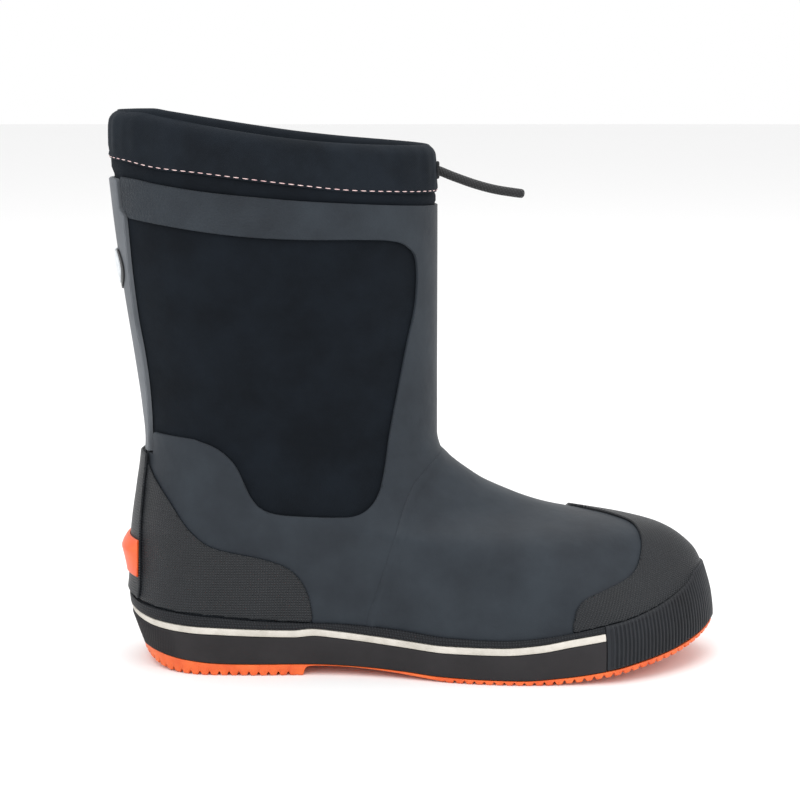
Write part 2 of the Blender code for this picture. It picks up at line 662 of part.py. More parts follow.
def make_foxing(dark, light, parts, cutters):
    """Three strips round the heel, from the bumper on one side to the other."""
    out = GAP + FOXING
    end = turn_at(BUMPER_BACK, 0.0) + math.tau / COLUMNS
    turns = [column(i) for i in range(-COLUMNS // 2, COLUMNS // 2 + 1) if abs(column(i)) < end]
    box = [(BUMPER_BACK, -0.05), (0.3 * SCALE_X, -0.05), (0.3 * SCALE_X, 0.1), (BUMPER_BACK, 0.1)]
    toe = prism("foxing_end", box, "XZ", cutters)

    def stripe_top(x):
        return stripe_foot(x) + STRIPE_HEIGHT

    low = [edge(foxing_foot, sole_x, WELT), level(FOXING_MIDDLE, WELT),
           edge(stripe_foot, sole_x, WELT, -2 * GAP)]
    middle = [edge(stripe_foot, sole_x, out), edge(stripe_top, sole_x, out)]
    high = [edge(stripe_top, sole_x, out, GAP), edge(foxing_top, sole_x, out)]
    strips = [sheet("lower_foxing", turns, low, WELT - GAP, dark, parts),
              sheet("stripe", turns, middle, FOXING, light, parts),
              sheet("upper_foxing", turns, high, FOXING, dark, parts)]
    for strip in strips:
        boolean(strip, toe, "DIFFERENCE")
    boolean(strips[2], prism("above_foxing", toe_line(0.0, 0.1), "XZ", cutters), "DIFFERENCE")


def make_bumper(surface, parts, cutters):
    start = turn_at(BUMPER_BACK, 0.0) - math.tau / COLUMNS
    turns = [column(i) for i in range(COLUMNS) if start < column(i) < math.tau - start]
    rows = [edge(foxing_foot, sole_x, BUMPER), lambda turn: offset_body(turn, toe_shoulder(turn), BUMPER)]
    rows += [level(z, BUMPER) for z in LEVELS if z < 64 * MM * SCALE_Z]
    bumper = sheet("toe_bumper", turns, rows, BUMPER - GAP, surface, parts)
    boolean(bumper, prism("above_bumper", toe_line(0.0, 0.1), "XZ", cutters), "DIFFERENCE")
    back = BUMPER_BACK + GAP
    box = [(0.0, -0.05), (back, -0.05), (back, 0.1), (0.0, 0.1)]
    boolean(bumper, prism("bumper_end", box, "XZ", cutters), "DIFFERENCE")


def make_badge(rim_surface, face_surface, parts, cutters):
    """Round badge on the backstay: a dark rim and a pale domed face."""
    reach = BADGE_RADIUS * 1.15
    base = BACKSTAY_OUT + GAP
    count = 8

    def patch(name, out, surface):
        rows = [level(BADGE_CENTRE - reach + 2 * reach * k / count, out) for k in range(count + 1)]
        turns = strip_turns(backstay_edge(BADGE_CENTRE), BADGE_CENTRE, 10)
        return sheet(name, turns, rows, out - base, surface, parts)

    def disc(name, radius):
        bpy.ops.mesh.primitive_cylinder_add(vertices=32, radius=radius, depth=0.08)
        made = bpy.context.object
        made.name = name
        made.rotation_euler = (0.0, math.pi / 2, 0.0)
        made.location = (back_line(BADGE_CENTRE), 0.0, BADGE_CENTRE)
        made.hide_render = True
        made.display_type = "WIRE"
        for home in made.users_collection:
            home.objects.unlink(made)
        cutters.objects.link(made)
        return made

    rim = patch("badge_rim", base + BADGE_HEIGHT, rim_surface)
    boolean(rim, disc("badge_outside", BADGE_RADIUS), "INTERSECT")
    boolean(rim, disc("badge_inside", BADGE_RADIUS - BADGE_RIM_WIDTH), "DIFFERENCE")
    face = patch("badge_face", base + BADGE_HEIGHT + BADGE_DOME, face_surface)
    boolean(face, disc("badge_face_region", BADGE_RADIUS - BADGE_RIM_WIDTH - GAP), "INTERSECT")


# The collar is a folded hem round the sock's top edge: its section, as (share of the way from the
# hem's foot to the shoulder, drop below the rim, offset) of the outer face, from outside to inside.
HEM_INSIDE = RUBBER + NEOPRENE + 2 * SOCK_GAP + HEM


def hem_row(share, drop, offset):
    def row(turn):
        x = rim_x(turn)
        shoulder = rim_line(x) - drop
        return offset_body(turn, hem_foot(x) + (shoulder - hem_foot(x)) * share, offset)
    return row


def exit_point():
    """Middle of the buttonhole, on the hem's outer face at the front."""
    height = rim_line(rim_x(math.pi)) - EXIT_BELOW_RIM
    return offset_body(math.pi, height, 0.0)


def make_collar(surface, parts, cutters):
    shoulder = 0.005
    rows = [hem_row(0.0, shoulder, -0.0002), hem_row(0.5, shoulder, 0.0004), hem_row(1.0, shoulder, 0.0),
            hem_row(1.0, 0.0016, -0.0012), hem_row(1.0, 0.0, -HEM_INSIDE / 2),
            hem_row(1.0, 0.0016, -HEM_INSIDE + 0.0012), hem_row(1.0, shoulder, -HEM_INSIDE),
            hem_row(0.0, shoulder, -HEM_INSIDE)]
    turns = [column(i) for i in range(COLUMNS)]
    collar = sheet("collar_hem", turns, rows, HEM, surface, parts, closed=True)
    hole_radius = CORD_RADIUS + EXIT_CLEARANCE + 2 * EYELET_THREAD + GAP
    bpy.ops.mesh.primitive_cylinder_add(vertices=24, radius=hole_radius, depth=0.006)
    hole = bpy.context.object
    hole.name = "buttonhole_cutter"
    hole.rotation_euler = (0.0, math.pi / 2, 0.0)
    hole.location = exit_point() + Vector((0.003 - HEM - 0.5 * GAP, 0.0, 0.0))
    hole.hide_render = True
    hole.display_type = "WIRE"
    for home in hole.users_collection:
        home.objects.unlink(hole)
    cutters.objects.link(hole)
    boolean(collar, hole, "DIFFERENCE")


def make_eyelet(surface, parts):
    radius = CORD_RADIUS + EXIT_CLEARANCE + EYELET_THREAD
    bpy.ops.mesh.primitive_torus_add(major_radius=radius, minor_radius=EYELET_THREAD, major_segments=24,
                                     minor_segments=8)
    ring = bpy.context.object
    ring.name = "cord_eyelet"
    ring.rotation_euler = (0.0, math.pi / 2, 0.0)
    ring.location = exit_point() + Vector((-HEM / 2, 0.0, 0.0))
    ring.data.materials.append(surface)
    for home in ring.users_collection:
        home.objects.unlink(ring)
    parts.objects.link(ring)


def tube(name, points, radius, surface, collection, cyclic=False, end_radii=None):
    """Round cord along points."""
    data = bpy.data.curves.new(name, "CURVE")
    data.dimensions = "3D"
    data.bevel_depth = radius
    data.bevel_resolution = 2
    data.use_fill_caps = not cyclic
    line = data.splines.new("POLY")
    line.points.add(len(points) - 1)
    for point, place in zip(line.points, points):
        point.co = (*place, 1.0)
    if end_radii:
        for point, share in zip(reversed(line.points), end_radii):
            point.radius = share
    line.use_cyclic_u = cyclic
    data.materials.append(surface)
    made = bpy.data.objects.new(name, data)
    collection.objects.link(made)
    return made


def make_cord(surface, parts):
    """Cord loop inside the collar, and its free end out of the buttonhole."""
    depth = HEM_INSIDE / 2
    loop = [offset_body(column(i), rim_line(rim_x(column(i))) - LOOP_DEPTH, -depth) for i in range(COLUMNS)]
    tube("drawcord_loop", loop, LOOP_RADIUS, surface, parts, cyclic=True)
    start = Vector((EYELET_THREAD / 2 + GAP, 0.0, 0.0))
    points = [start + Vector((a, 0.0, b)) for a, b in spline(CORD_ROUTE)]
    tail_end = points[-1] - points[-2]
    points += [points[-1] + tail_end.normalized() * CORD_RADIUS * step for step in (0.45, 0.8)]
    tail = tube("drawcord_tail", points, CORD_RADIUS, surface, parts, end_radii=(0.35, 0.8))
    tail.location = exit_point()


def stand_on_origin(parts, cutters):
    """Parent everything to one empty, which stands the boot's box, without its free cord, on the origin."""
    bpy.context.view_layer.update()
    graph = bpy.context.evaluated_depsgraph_get()
    points = []
    for part in parts.objects:
        if part.name != "drawcord_tail":
            solid = part.evaluated_get(graph)
            points += [solid.matrix_world @ v.co for v in solid.to_mesh().vertices]
            solid.to_mesh_clear()
    low = [min(p[k] for p in points) for k in range(3)]
    high = [max(p[k] for p in points) for k in range(3)]
    root = bpy.data.objects.new("boot_root", None)
    root.location = (-(low[0] + high[0]) / 2, -(low[1] + high[1]) / 2, -low[2])
    for collection in (parts, cutters):
        for member in collection.objects:
            member.parent = root
    parts.objects.link(root)


def main():
    for old in list(bpy.data.objects):
        bpy.data.objects.remove(old, do_unlink=True)
    parts = bpy.data.collections.new("deck_boot")
    cutters = bpy.data.collections.new("cutters")
    for collection in (parts, cutters):
        bpy.context.scene.collection.children.link(collection)

    charcoal = material("charcoal_rubber", (0.030, 0.036, 0.042), 0.5)
    dark = material("dark_rubber", (0.020, 0.018, 0.020), 0.55)
    white = material("white_rubber", (0.66, 0.63, 0.56), 0.5)
    orange = material("orange_rubber", (0.86, 0.17, 0.035), 0.45)
    neoprene = material("navy_neoprene", (0.008, 0.012, 0.018), 0.9)
    foam = material("grey_foam", (0.12, 0.12, 0.13), 0.9)
    board = material("fibre_board", (0.35, 0.25, 0.16), 0.9)
    stiff = material("stiffener_board", (0.25, 0.25, 0.25), 0.8)
    cord = material("black_cord", (0.012, 0.012, 0.014), 0.8)
    badge_black = material("badge_black", (0.01, 0.01, 0.01), 0.4)
    badge_pale = material("badge_pale", (0.6, 0.6, 0.6), 0.4)

    make_outsole(orange, parts, cutters)
    heel_block("heel_filler", GAP, HEEL_POCKET_DEPTH - GAP, foam, parts)
    make_board(board, parts)
    make_bootie(neoprene, parts)
    make_footbed(foam, parts)
    make_upper(charcoal, parts, cutters)
    make_backstay(charcoal, parts)
    make_counter(charcoal, parts, cutters)
    make_heel_strip(charcoal, parts)
    make_spur(orange, parts)
    make_toe_cap(charcoal, parts, cutters)
    make_stiffeners(stiff, parts)
    make_foxing(dark, white, parts, cutters)
    make_bumper(dark, parts, cutters)
    make_badge(badge_black, badge_pale, parts, cutters)
    make_collar(neoprene, parts, cutters)
    make_eyelet(cord, parts)
    make_cord(cord, parts)
    stand_on_origin(parts, cutters)


main()
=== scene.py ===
"""Deck boot of moulded rubber over a neoprene sock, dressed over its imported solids.

All sizes are millimetres until a mesh is made. A point of the boot has a turn, 0 at the back of the
heel and pi at the toe, and a height. Every layer is a sheet at an offset from one body surface, the
outside of the main rubber. The toe points along +X and the outer side of the foot is -Y.
"""

import math

import bmesh
import bpy
import numpy as np
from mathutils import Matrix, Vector


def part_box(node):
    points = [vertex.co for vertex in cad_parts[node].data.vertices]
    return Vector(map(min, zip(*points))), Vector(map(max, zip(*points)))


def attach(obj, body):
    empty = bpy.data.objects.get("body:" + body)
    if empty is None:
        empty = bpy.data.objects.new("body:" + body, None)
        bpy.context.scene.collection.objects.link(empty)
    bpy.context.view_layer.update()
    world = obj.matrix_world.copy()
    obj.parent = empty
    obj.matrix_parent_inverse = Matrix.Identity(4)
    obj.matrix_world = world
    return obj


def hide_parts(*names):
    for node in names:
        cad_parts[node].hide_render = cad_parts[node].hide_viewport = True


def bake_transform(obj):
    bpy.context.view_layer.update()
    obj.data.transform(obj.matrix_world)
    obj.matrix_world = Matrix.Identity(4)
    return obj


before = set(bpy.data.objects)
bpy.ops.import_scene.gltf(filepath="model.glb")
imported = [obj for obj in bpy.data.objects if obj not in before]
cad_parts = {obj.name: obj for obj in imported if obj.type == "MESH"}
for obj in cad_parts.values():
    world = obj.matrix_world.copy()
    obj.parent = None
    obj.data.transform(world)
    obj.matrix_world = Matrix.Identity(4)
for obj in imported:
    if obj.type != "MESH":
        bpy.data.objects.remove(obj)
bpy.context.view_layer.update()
MM = 0.001

# Walls, gaps and strips, as in the solids.
RUBBER, NEOPRENE, OVERLAY, FOXING, STIFFENER, HEM = 1.5, 4.0, 1.2, 1.7, 1.1, 1.5
BOARD, FOOTBED, GAP, SOCK_GAP, WELT, BUMPER = 2.0, 5.0, 0.3, 0.5, 2.3, 2.6
STRIPE_HEIGHT = 3.5
COUNTER_OUT = GAP + OVERLAY
STRIP_OUT = COUNTER_OUT + GAP + OVERLAY
BACKSTAY_OUT = 1.0
VERTICAL_BELOW, RIM_LEVEL, BUMPER_BACK = 10.0, 260.0, 92.0
BACKSTAY_FOOT, BACKSTAY_TOP = 110.5, 249.0
SPUR_TOP, SPUR_TIP, SPUR_FOOT, SPUR_REACH = 66.0, 59.0, 47.0, 2.9
BADGE_CENTRE, BADGE_RADIUS, BADGE_RIM = 205.0, 12.0, 2.6
TUNNEL_HEIGHT, CORD_RADIUS, EXIT_BELOW_RIM = 10.0, 2.3, 13.1
CORD_ROUTE = [(0.0, 0.0), (8.4, -3.3), (19.2, -7.1), (30.0, -9.9), (42.5, -11.8)]


def smooth(t):
    t = np.clip(t, 0.0, 1.0)
    return t * t * (3.0 - 2.0 * t)


def curve(points):
    """Smooth curve through points, held level past both ends."""
    xs, ys = np.array(points, float).T
    steps = np.diff(xs)
    rises = np.diff(ys) / steps
    slopes = np.concatenate([rises[:1], np.zeros(len(rises) - 1), rises[-1:]])
    h0, h1, r0, r1 = steps[:-1], steps[1:], rises[:-1], rises[1:]
    same_way = r0 * r1 > 0
    safe0, safe1 = np.where(same_way, r0, 1.0), np.where(same_way, r1, 1.0)
    between = 3 * (h0 + h1) / ((2 * h1 + h0) / safe0 + (h1 + 2 * h0) / safe1)
    slopes[1:-1] = np.where(same_way, between, 0.0)

    def read(x):
        x = np.clip(x, xs[0], xs[-1])
        i = np.clip(np.searchsorted(xs, x, side="right") - 1, 0, len(steps) - 1)
        h = steps[i]
        t = (x - xs[i]) / h
        near = (1 + 2 * t) * (1 - t) ** 2 * ys[i] + t * t * (3 - 2 * t) * ys[i + 1]
        return near + h * t * (1 - t) * ((1 - t) * slopes[i] - t * slopes[i + 1])

    return read


# Side profiles: (height, x).
back_line = curve(
    [(10, -142), (18.5, -145), (27, -147.9), (31, -149.2), (36, -149.6),
     (42, -148.9), (66, -147.4), (93, -143.5), (106, -141.5), (116, -140.6), (135, -142.1),
     (156, -144.7), (197, -150.3), (237, -154.8), (258, -156.4), (272, -156.6), (282.7, -155.8)])
front_line = curve(
    [(10, 149.9), (22, 150.7), (31, 149.9), (42, 147.2), (52.5, 143), (58.6, 137.4), (66, 125.6),
     (69.8, 112), (72.2, 98), (74.4, 84), (76.8, 71.9), (80.6, 58.8), (86, 45.5), (92.5, 32.2),
     (97.3, 25.2), (102.3, 18.6), (106, 14.5), (111.4, 9.9), (119.3, 8.2), (235, 8), (260, 7.4),
     (282.7, 6)])
# Footprint: (share of the length in thousandths, half width).
outer_footprint = curve(
    [(0, 35.0), (130, 35.2), (200, 35.8), (270, 35.2), (330, 35.6), (400, 38.0), (470, 42.5), (530, 47.3),
     (600, 51.4), (670, 53.4), (740, 53.6), (800, 52.4), (867, 47.5), (917, 43.5), (1000, 37.0)])
inner_footprint = curve(
    [(0, 35.0), (130, 35.2), (200, 34.6), (270, 32.4), (330, 30.4), (400, 30.0), (470, 32.4), (530, 37.0),
     (600, 42.6), (670, 47.0), (740, 49.4), (800, 49.4), (867, 47.0), (917, 43.5), (1000, 37.0)])
shaft_half_width = curve([(14, 37.0), (80, 37.0), (110, 37.5), (150, 40.0), (235, 42.0)])
# How much of a section its rounded heel takes, and where its rounded front starts, in thousandths.
heel_share = curve([(14, 130), (60, 150), (85, 210), (110, 340), (140, 500)])
toe_start = curve([(14, 815), (30, 800), (60, 620), (85, 450), (110, 480), (125, 500)])
ridge = curve([(14, 4.0), (55, 9.0), (75, 9.0), (92, 5.0), (112, 0.0)])
# Edges along the sole and the top: (x, height).
tread_edge = curve(
    [(-150, 9), (-143, 6.2), (-136, 2.6), (-128, 0.6), (-118, 0), (60, 0), (75, 1.2), (90, 3),
     (110, 6.2), (130, 10), (141, 13.6), (151, 18.5)])
foxing_foot = curve(
    [(-150, 9.7), (-143, 9.7), (-136, 9.1), (-128, 8.2), (-118, 7.3), (-96, 6.1), (-56, 6.1),
     (-40, 5.7), (-11, 4.4), (10, 3), (50, 2.6), (70, 4), (90, 6.4), (110, 9.6), (130, 13.3),
     (141, 16.4), (151, 20.5)])
board_foot = curve(
    [(-150, 12), (-70, 12), (-50, 10.4), (-30, 8.3), (0, 5.6), (20, 4.6), (60, 4.6), (75, 5.8),
     (90, 7.6), (110, 10.8), (130, 14), (151, 17.6)])
stripe_foot = curve(
    [(-150, 28.4), (-145, 26.9), (-131, 23.4), (-114, 22), (-88, 20.8), (-62, 20), (-52, 20.9),
     (-42, 20), (-11, 17), (14, 15.2), (39, 15.2), (59, 16.6), (76, 19.4), (94, 21.8)])
foxing_top = curve(
    [(-150, 37), (-145, 35.4), (-131, 33.2), (-114, 31.8), (-88, 29.4), (-62, 27.6), (-38, 27.1),
     (-11, 25.6), (14, 23), (39, 22.4), (59, 23.5), (78, 26.2), (93, 28.8)])
bumper_top = curve(
    [(92, 28.8), (104, 30.5), (118, 33.8), (126, 36.4), (134, 39.9), (138.5, 42.6), (141.5, 45.8),
     (151, 49)])
rim_line = curve([(-156, 282.7), (-140, 282.4), (-131, 280.8), (-107, 276.5), (-83, 272.7), (-59, 269.6),
                  (-35, 267.5), (-11, 266.2), (7, 265.5)])
hem_foot = curve(
    [(-156, 258.6), (-148, 257.8), (-131, 254.7), (-107, 252.4), (-83, 249.6), (-59, 246.7),
     (-35, 244), (-11, 242.6), (7, 241.6)])
band_top = curve(
    [(-156, 250.5), (-142, 249.4), (-131, 247.5), (-107, 244.3), (-83, 242.1), (-59, 240.1),
     (-35, 238.5), (-11, 236.8), (7, 235.4)])
# Front edge of the strip up the back of the shaft: (height, x).
backstay_edge = curve(
    [(110, -137.8), (127, -137.7), (145, -138.4), (160, -140), (179.5, -143.2), (206.5, -145.8),
     (226, -146.9), (249, -148.8)])

# How far forward the strip up the heel wraps: (height, length).
heel_strip_wrap = curve([(30, 7.2), (60, 6.4), (90, 4.6), (110, 3.6)])

# Outlines seen from the side: (x, height).
SEAM = [(-27, 4), (-26, 28), (-22, 41), (-17, 56.5), (-13, 69.4), (-8.4, 83.3), (-3.5, 94), (2, 100.5),
        (9, 106.5), (17, 113)]
WINDOW = [(-175, 233.5), (-142.9, 229.6), (-108, 225), (-83.5, 222.6), (-59, 221.4), (-30, 220.8),
          (-15, 219.6), (-7, 216.4), (-2.4, 208.5), (-2.7, 188), (-7, 167.5), (-11.9, 142.8),
          (-15.8, 122.3), (-18, 107), (-21, 94), (-26, 86.7), (-33, 83), (-42, 82.2), (-58.6, 82.3),
          (-71.6, 83.2), (-80, 86), (-85.2, 92), (-88.6, 99.5), (-92, 107), (-96.4, 112.5),
          (-102, 116.6), (-110, 119.6), (-122, 121.2), (-175, 121.6)]
COUNTER = [(-150, 109.8), (-141, 109.8), (-138.6, 106), (-134.6, 99.5), (-125.8, 88.4), (-118.6, 78),
           (-110.8, 70), (-103.4, 66), (-91, 63), (-80, 60.6), (-68.5, 56.5), (-62, 51), (-58, 44),
           (-55.5, 34), (-55, 20)]
# Rear edge of the toe cap seen from above: (x, y).
TOE_CAP_EDGE = [(75, -70), (75, -51), (76, -47.5), (79, -45), (93, -38), (107, -27), (112, -17),
                (112, -8), (108, 2), (96, 12), (82, 20), (78, 27), (78, 70)]
ARCH = [(-60.5, -3), (-59, 3.2), (-56, 5.0), (-46, 5.2), (-30, 4.6), (-11, 2.8), (8, 0.7), (24, -1.2),
        (30, -3)]


def spline(points, steps=8):
    """Points on a Catmull-Rom spline through drawn points."""
    p = np.array([points[0]] + list(points) + [points[-1]], float)
    t = (np.arange(steps) / steps)[:, None]
    out = []
    for a, b, c, d in zip(p, p[1:], p[2:], p[3:]):
        out.append((-0.5 * t + t * t - 0.5 * t ** 3) * a + (1 - 2.5 * t * t + 1.5 * t ** 3) * b
                   + (0.5 * t + 2 * t * t - 1.5 * t ** 3) * c + (0.5 * t ** 3 - 0.5 * t * t) * d)
    return np.vstack(out + [p[-1:]])


def round_end(u):
    return np.sqrt(np.maximum(1.0 - np.maximum(u, 0.0) ** 2, 0.0))


def body(turn, height):
    """Points on the outside of the main rubber."""
    turn, height = np.broadcast_arrays(np.asarray(turn, float), np.asarray(height, float))
    z = np.maximum(height, VERTICAL_BELOW)
    share = (1.0 - np.cos(turn)) / 2.0
    rear, front = back_line(z), front_line(z)
    lateral = np.sin(turn) >= 0.0
    foot = np.where(lateral, outer_footprint(share * 1000), inner_footprint(share * 1000))
    upper = smooth((z - 12.0) / 93.0)
    start = toe_start(z) / 1000
    ends = round_end(1.0 - share / (heel_share(z) / 1000)) * round_end((share - start) / (1.0 - start))
    half = ((1.0 - upper) * foot + upper * shaft_half_width(z)) * ends
    middle = ridge(z) * smooth((share - 0.45) / 0.55)
    return np.stack([rear + (front - rear) * share, middle + np.where(lateral, -half, half), height], -1)


def swell(turn, height):
    """Soft unevenness of a worn-in shaft, the same for every layer of it."""
    share = smooth((height - 118.0) / 40.0) * (1.0 - 0.6 * smooth((height - 225.0) / 20.0))
    waves = np.sin(3 * turn + height / 17.0) + 0.7 * np.sin(5 * turn - height / 11.0 + 1.3)
    return 0.28 * share * waves * np.sin(turn) ** 2


def skin(turn, height, offset=0.0):
    """Points at an offset outwards from the main rubber."""
    step, lift = 1e-3, 0.2
    around = body(turn + step, height) - body(turn - step, height)
    upward = body(turn, height + lift) - body(turn, height - lift)
    out = np.cross(around, upward)
    out /= np.linalg.norm(out, axis=-1, keepdims=True)
    return body(turn, height) + out * (np.asarray(offset) + swell(turn, height))[..., None]


def turn_at(x, height):
    """Turn on the outer side at which a section reaches x."""
    z = np.maximum(height, VERTICAL_BELOW)
    share = (x - back_line(z)) / (front_line(z) - back_line(z))
    return np.arccos(np.clip(1.0 - 2.0 * share, -1.0, 1.0))


def sole_x(turn, offset=0.0):
    return skin(turn, VERTICAL_BELOW, offset)[..., 0]


def rim_x(turn):
    return body(turn, RIM_LEVEL)[..., 0]


def levels(low, high, step):
    """Heights that lie one step apart along the front of the boot."""
    fine = np.arange(low, high, 0.02)
    walked = np.concatenate([[0.0], np.cumsum(np.hypot(np.diff(fine), np.diff(front_line(fine))))])
    count = max(int(walked[-1] / step), 2)
    return np.interp(np.linspace(0.0, walked[-1], count + 1), walked, fine)


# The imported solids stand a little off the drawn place: the middle of the eyelet gives by how much.
exit_height = float(rim_line(rim_x(math.pi))) - EXIT_BELOW_RIM
EXIT_DRAWN = body(math.pi, exit_height)
eyelet_low, eyelet_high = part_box("cord_eyelet")
SHIFT = (np.array(eyelet_low) + np.array(eyelet_high)) / 2 / MM - (EXIT_DRAWN - np.array([HEM / 2, 0, 0]))


def make_piece(name, points, faces, material, uv=None, sharp=40.0, attributes=None):
    """Object from points in millimetres; uv is a pair of millimetres for each point."""
    mesh = bpy.data.meshes.new(name)
    mesh.from_pydata(((np.asarray(points) + SHIFT) * MM).tolist(), [], faces)
    if uv is not None:
        layer = mesh.uv_layers.new(name="surface")
        corner = np.zeros(len(mesh.loops), np.int32)
        mesh.loops.foreach_get("vertex_index", corner)
        layer.data.foreach_set("uv", np.asarray(uv, np.float32)[corner].ravel())
    for key, values in (attributes or {}).items():
        vector = np.ndim(values) == 2
        made = mesh.attributes.new(key, "FLOAT_VECTOR" if vector else "FLOAT", "POINT")
        made.data.foreach_set("vector" if vector else "value", np.asarray(values, np.float32).ravel())
    work = bmesh.new()
    work.from_mesh(mesh)
    bmesh.ops.recalc_face_normals(work, faces=work.faces)
    work.to_mesh(mesh)
    work.free()
    mesh.shade_smooth()
    mesh.set_sharp_from_angle(angle=math.radians(sharp))
    made = bpy.data.objects.new(name, mesh)
    bpy.context.scene.collection.objects.link(made)
    mesh.materials.append(material)
    return made


def dress(piece, slot, *nodes, on="boot"):
    """Hang a finished piece on its body in place of its solids."""
    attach(piece, on)
    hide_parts(*nodes)
    return piece


def inside_of(outline):
    """Reader of signed distances to a closed outline, positive inside it."""
    a = np.array(outline, float)
    b = np.roll(a, -1, axis=0)

    def read(x, y):
        nearest = np.full(x.shape, 1e9)
        within = np.zeros(x.shape, bool)
        for (ax, ay), (bx, by) in zip(a, b):
            dx, dy = bx - ax, by - ay
            t = np.clip(((x - ax) * dx + (y - ay) * dy) / max(dx * dx + dy * dy, 1e-12), 0, 1)
            nearest = np.minimum(nearest, np.hypot(x - ax - t * dx, y - ay - t * dy))
            if ay != by:
                within ^= ((ay > y) != (by > y)) & (x < ax + (y - ay) / (by - ay) * dx)
        return np.where(within, nearest, -nearest)

    return read


def cut_grid(turns, heights, distance, closed):
    """Grid of turns and heights trimmed where distance(points) falls to zero.

    Gives for each vertex its turn, height and the millimetres around and up, then the faces.
    """
    turn, height = np.meshgrid(turns, heights)
    place = skin(turn, height)
    far = distance(place, turn, height)
    across = np.linalg.norm(np.diff(place, axis=1), axis=2)
    up = np.linalg.norm(np.diff(place, axis=0), axis=2)
    u = np.concatenate([np.zeros((len(heights), 1)), np.cumsum(across, axis=1)], axis=1)
    u -= u[:, [len(turns) // 2]]
    v = np.concatenate([np.zeros((1, len(turns))), np.cumsum(up, axis=0)], axis=0)
    data = np.stack([turn, height, u, v, far], -1)
    wide = far.shape[1]
    keep = far > 0
    vertices, known, faces = [], {}, []

    def corner(r, c):
        key = (r, 0 if closed and c == wide - 1 else c)
        if key not in known:
            known[key] = len(vertices)
            vertices.append(data[r, c])
        return known[key]

    def crossing(one, other):
        keys = [(r, 0 if closed and c == wide - 1 else c) for r, c in (one, other)]
        key = (min(keys), max(keys))
        if key not in known:
            share = far[one] / (far[one] - far[other])
            known[key] = len(vertices)
            vertices.append(data[one] + (data[other] - data[one]) * share)
        return known[key]

    cells = keep[:-1, :-1] | keep[1:, :-1] | keep[:-1, 1:] | keep[1:, 1:]
    for r, c in np.argwhere(cells):
        corners = [(r, c), (r, c + 1), (r + 1, c + 1), (r + 1, c)]
        face = []
        for one, other in zip(corners, corners[1:] + corners[:1]):
            if keep[one]:
                face.append(corner(*one))
            if keep[one] != keep[other]:
                face.append(crossing(one, other))
        faces.append(tuple(face))
    return np.array(vertices), faces


def panel(name, turns, heights, distance, outer, inner, material, closed=False, chamfer=0.35):
    """Sheet trimmed to an outline and made solid between two offsets, with its edge rounded off.

    outer and inner are offsets, or functions of the turn, height and distance to the edge.
    """
    data, faces = cut_grid(turns, heights, distance, closed)
    turn, height, u, v, far = data.T
    edges = {}
    for face in faces:
        for a, b in zip(face, face[1:] + face[:1]):
            key = (min(a, b), max(a, b))
            edges[key] = None if key in edges else (a, b)
    border = np.array([pair for pair in edges.values() if pair])
    out = outer(turn, height, far) if callable(outer) else np.full(len(turn), float(outer))
    low = inner(turn, height, far) if callable(inner) else np.full(len(turn), float(inner))
    top, bottom = skin(turn, height, out), skin(turn, height, low)
    drop = np.minimum(chamfer, 0.45 * (out - low))
    rim = top + (bottom - top) * (drop / np.maximum(out - low, 1e-6))[:, None]
    # The top's border is drawn in from the edge by as much as the rim is dropped.
    along = top[border[:, 1]] - top[border[:, 0]]
    upright = top - bottom
    inwards = np.zeros_like(top)
    for side in (0, 1):
        step = np.cross(upright[border[:, side]], along)
        step /= np.maximum(np.linalg.norm(step, axis=1, keepdims=True), 1e-9)
        np.add.at(inwards, border[:, side], step)
    inwards /= np.maximum(np.linalg.norm(inwards, axis=1, keepdims=True), 1e-9)
    on_edge = np.unique(border)
    top[on_edge] += inwards[on_edge] * drop[on_edge][:, None]
    count = len(top)
    ring = {vertex: 2 * count + i for i, vertex in enumerate(on_edge)}
    points = np.vstack([top, bottom, rim[on_edge]])
    solid = list(faces) + [tuple(count + i for i in reversed(face)) for face in faces]
    for a, b in border:
        solid.append((b, a, ring[a], ring[b]))
        solid.append((ring[b], ring[a], count + a, count + b))
    uv = np.vstack([np.stack([u, v], 1), np.stack([u, v], 1), np.stack([u, v], 1)[on_edge]])
    return make_piece(name, points, solid, material, uv)


def swept(name, turns, profile, material, closed=False, attributes=None, sharp=40.0):
    """Solid strip: a closed section of heights and offsets, one row of each per point, along turns.

    profile(turns) gives heights and offsets as arrays of section points by turns.
    """
    heights, offsets = profile(turns)
    ring, wide = heights.shape
    low = np.minimum(heights, VERTICAL_BELOW)
    place = skin(turns[None, :], np.maximum(heights, VERTICAL_BELOW), offsets)
    place[..., 2] += low - VERTICAL_BELOW
    middle = place[ring // 4]
    u = np.concatenate([[0.0], np.cumsum(np.linalg.norm(np.diff(middle, axis=0), axis=1))])
    climbed = np.cumsum(np.linalg.norm(np.diff(place, axis=0), axis=2), axis=0)
    v = np.concatenate([np.zeros((1, wide)), climbed])
    index = np.arange(ring * wide).reshape(ring, wide)
    after = np.roll(index, -1, axis=0)
    if closed:
        sides = (index, np.roll(index, -1, axis=1), np.roll(after, -1, axis=1), after)
    else:
        sides = (index[:, :-1], index[:, 1:], after[:, 1:], after[:, :-1])
    faces = np.stack([side.ravel() for side in sides], 1).tolist()
    if not closed:
        faces += [index[:, 0].tolist(), index[::-1, -1].tolist()]
    uv = np.stack([np.broadcast_to(u, place.shape[:2]), v], -1).reshape(-1, 2)
    extra = {key: make(place, u, heights, offsets) for key, make in (attributes or {}).items()}
    return make_piece(name, place.reshape(-1, 3), faces, material, uv, sharp, extra)


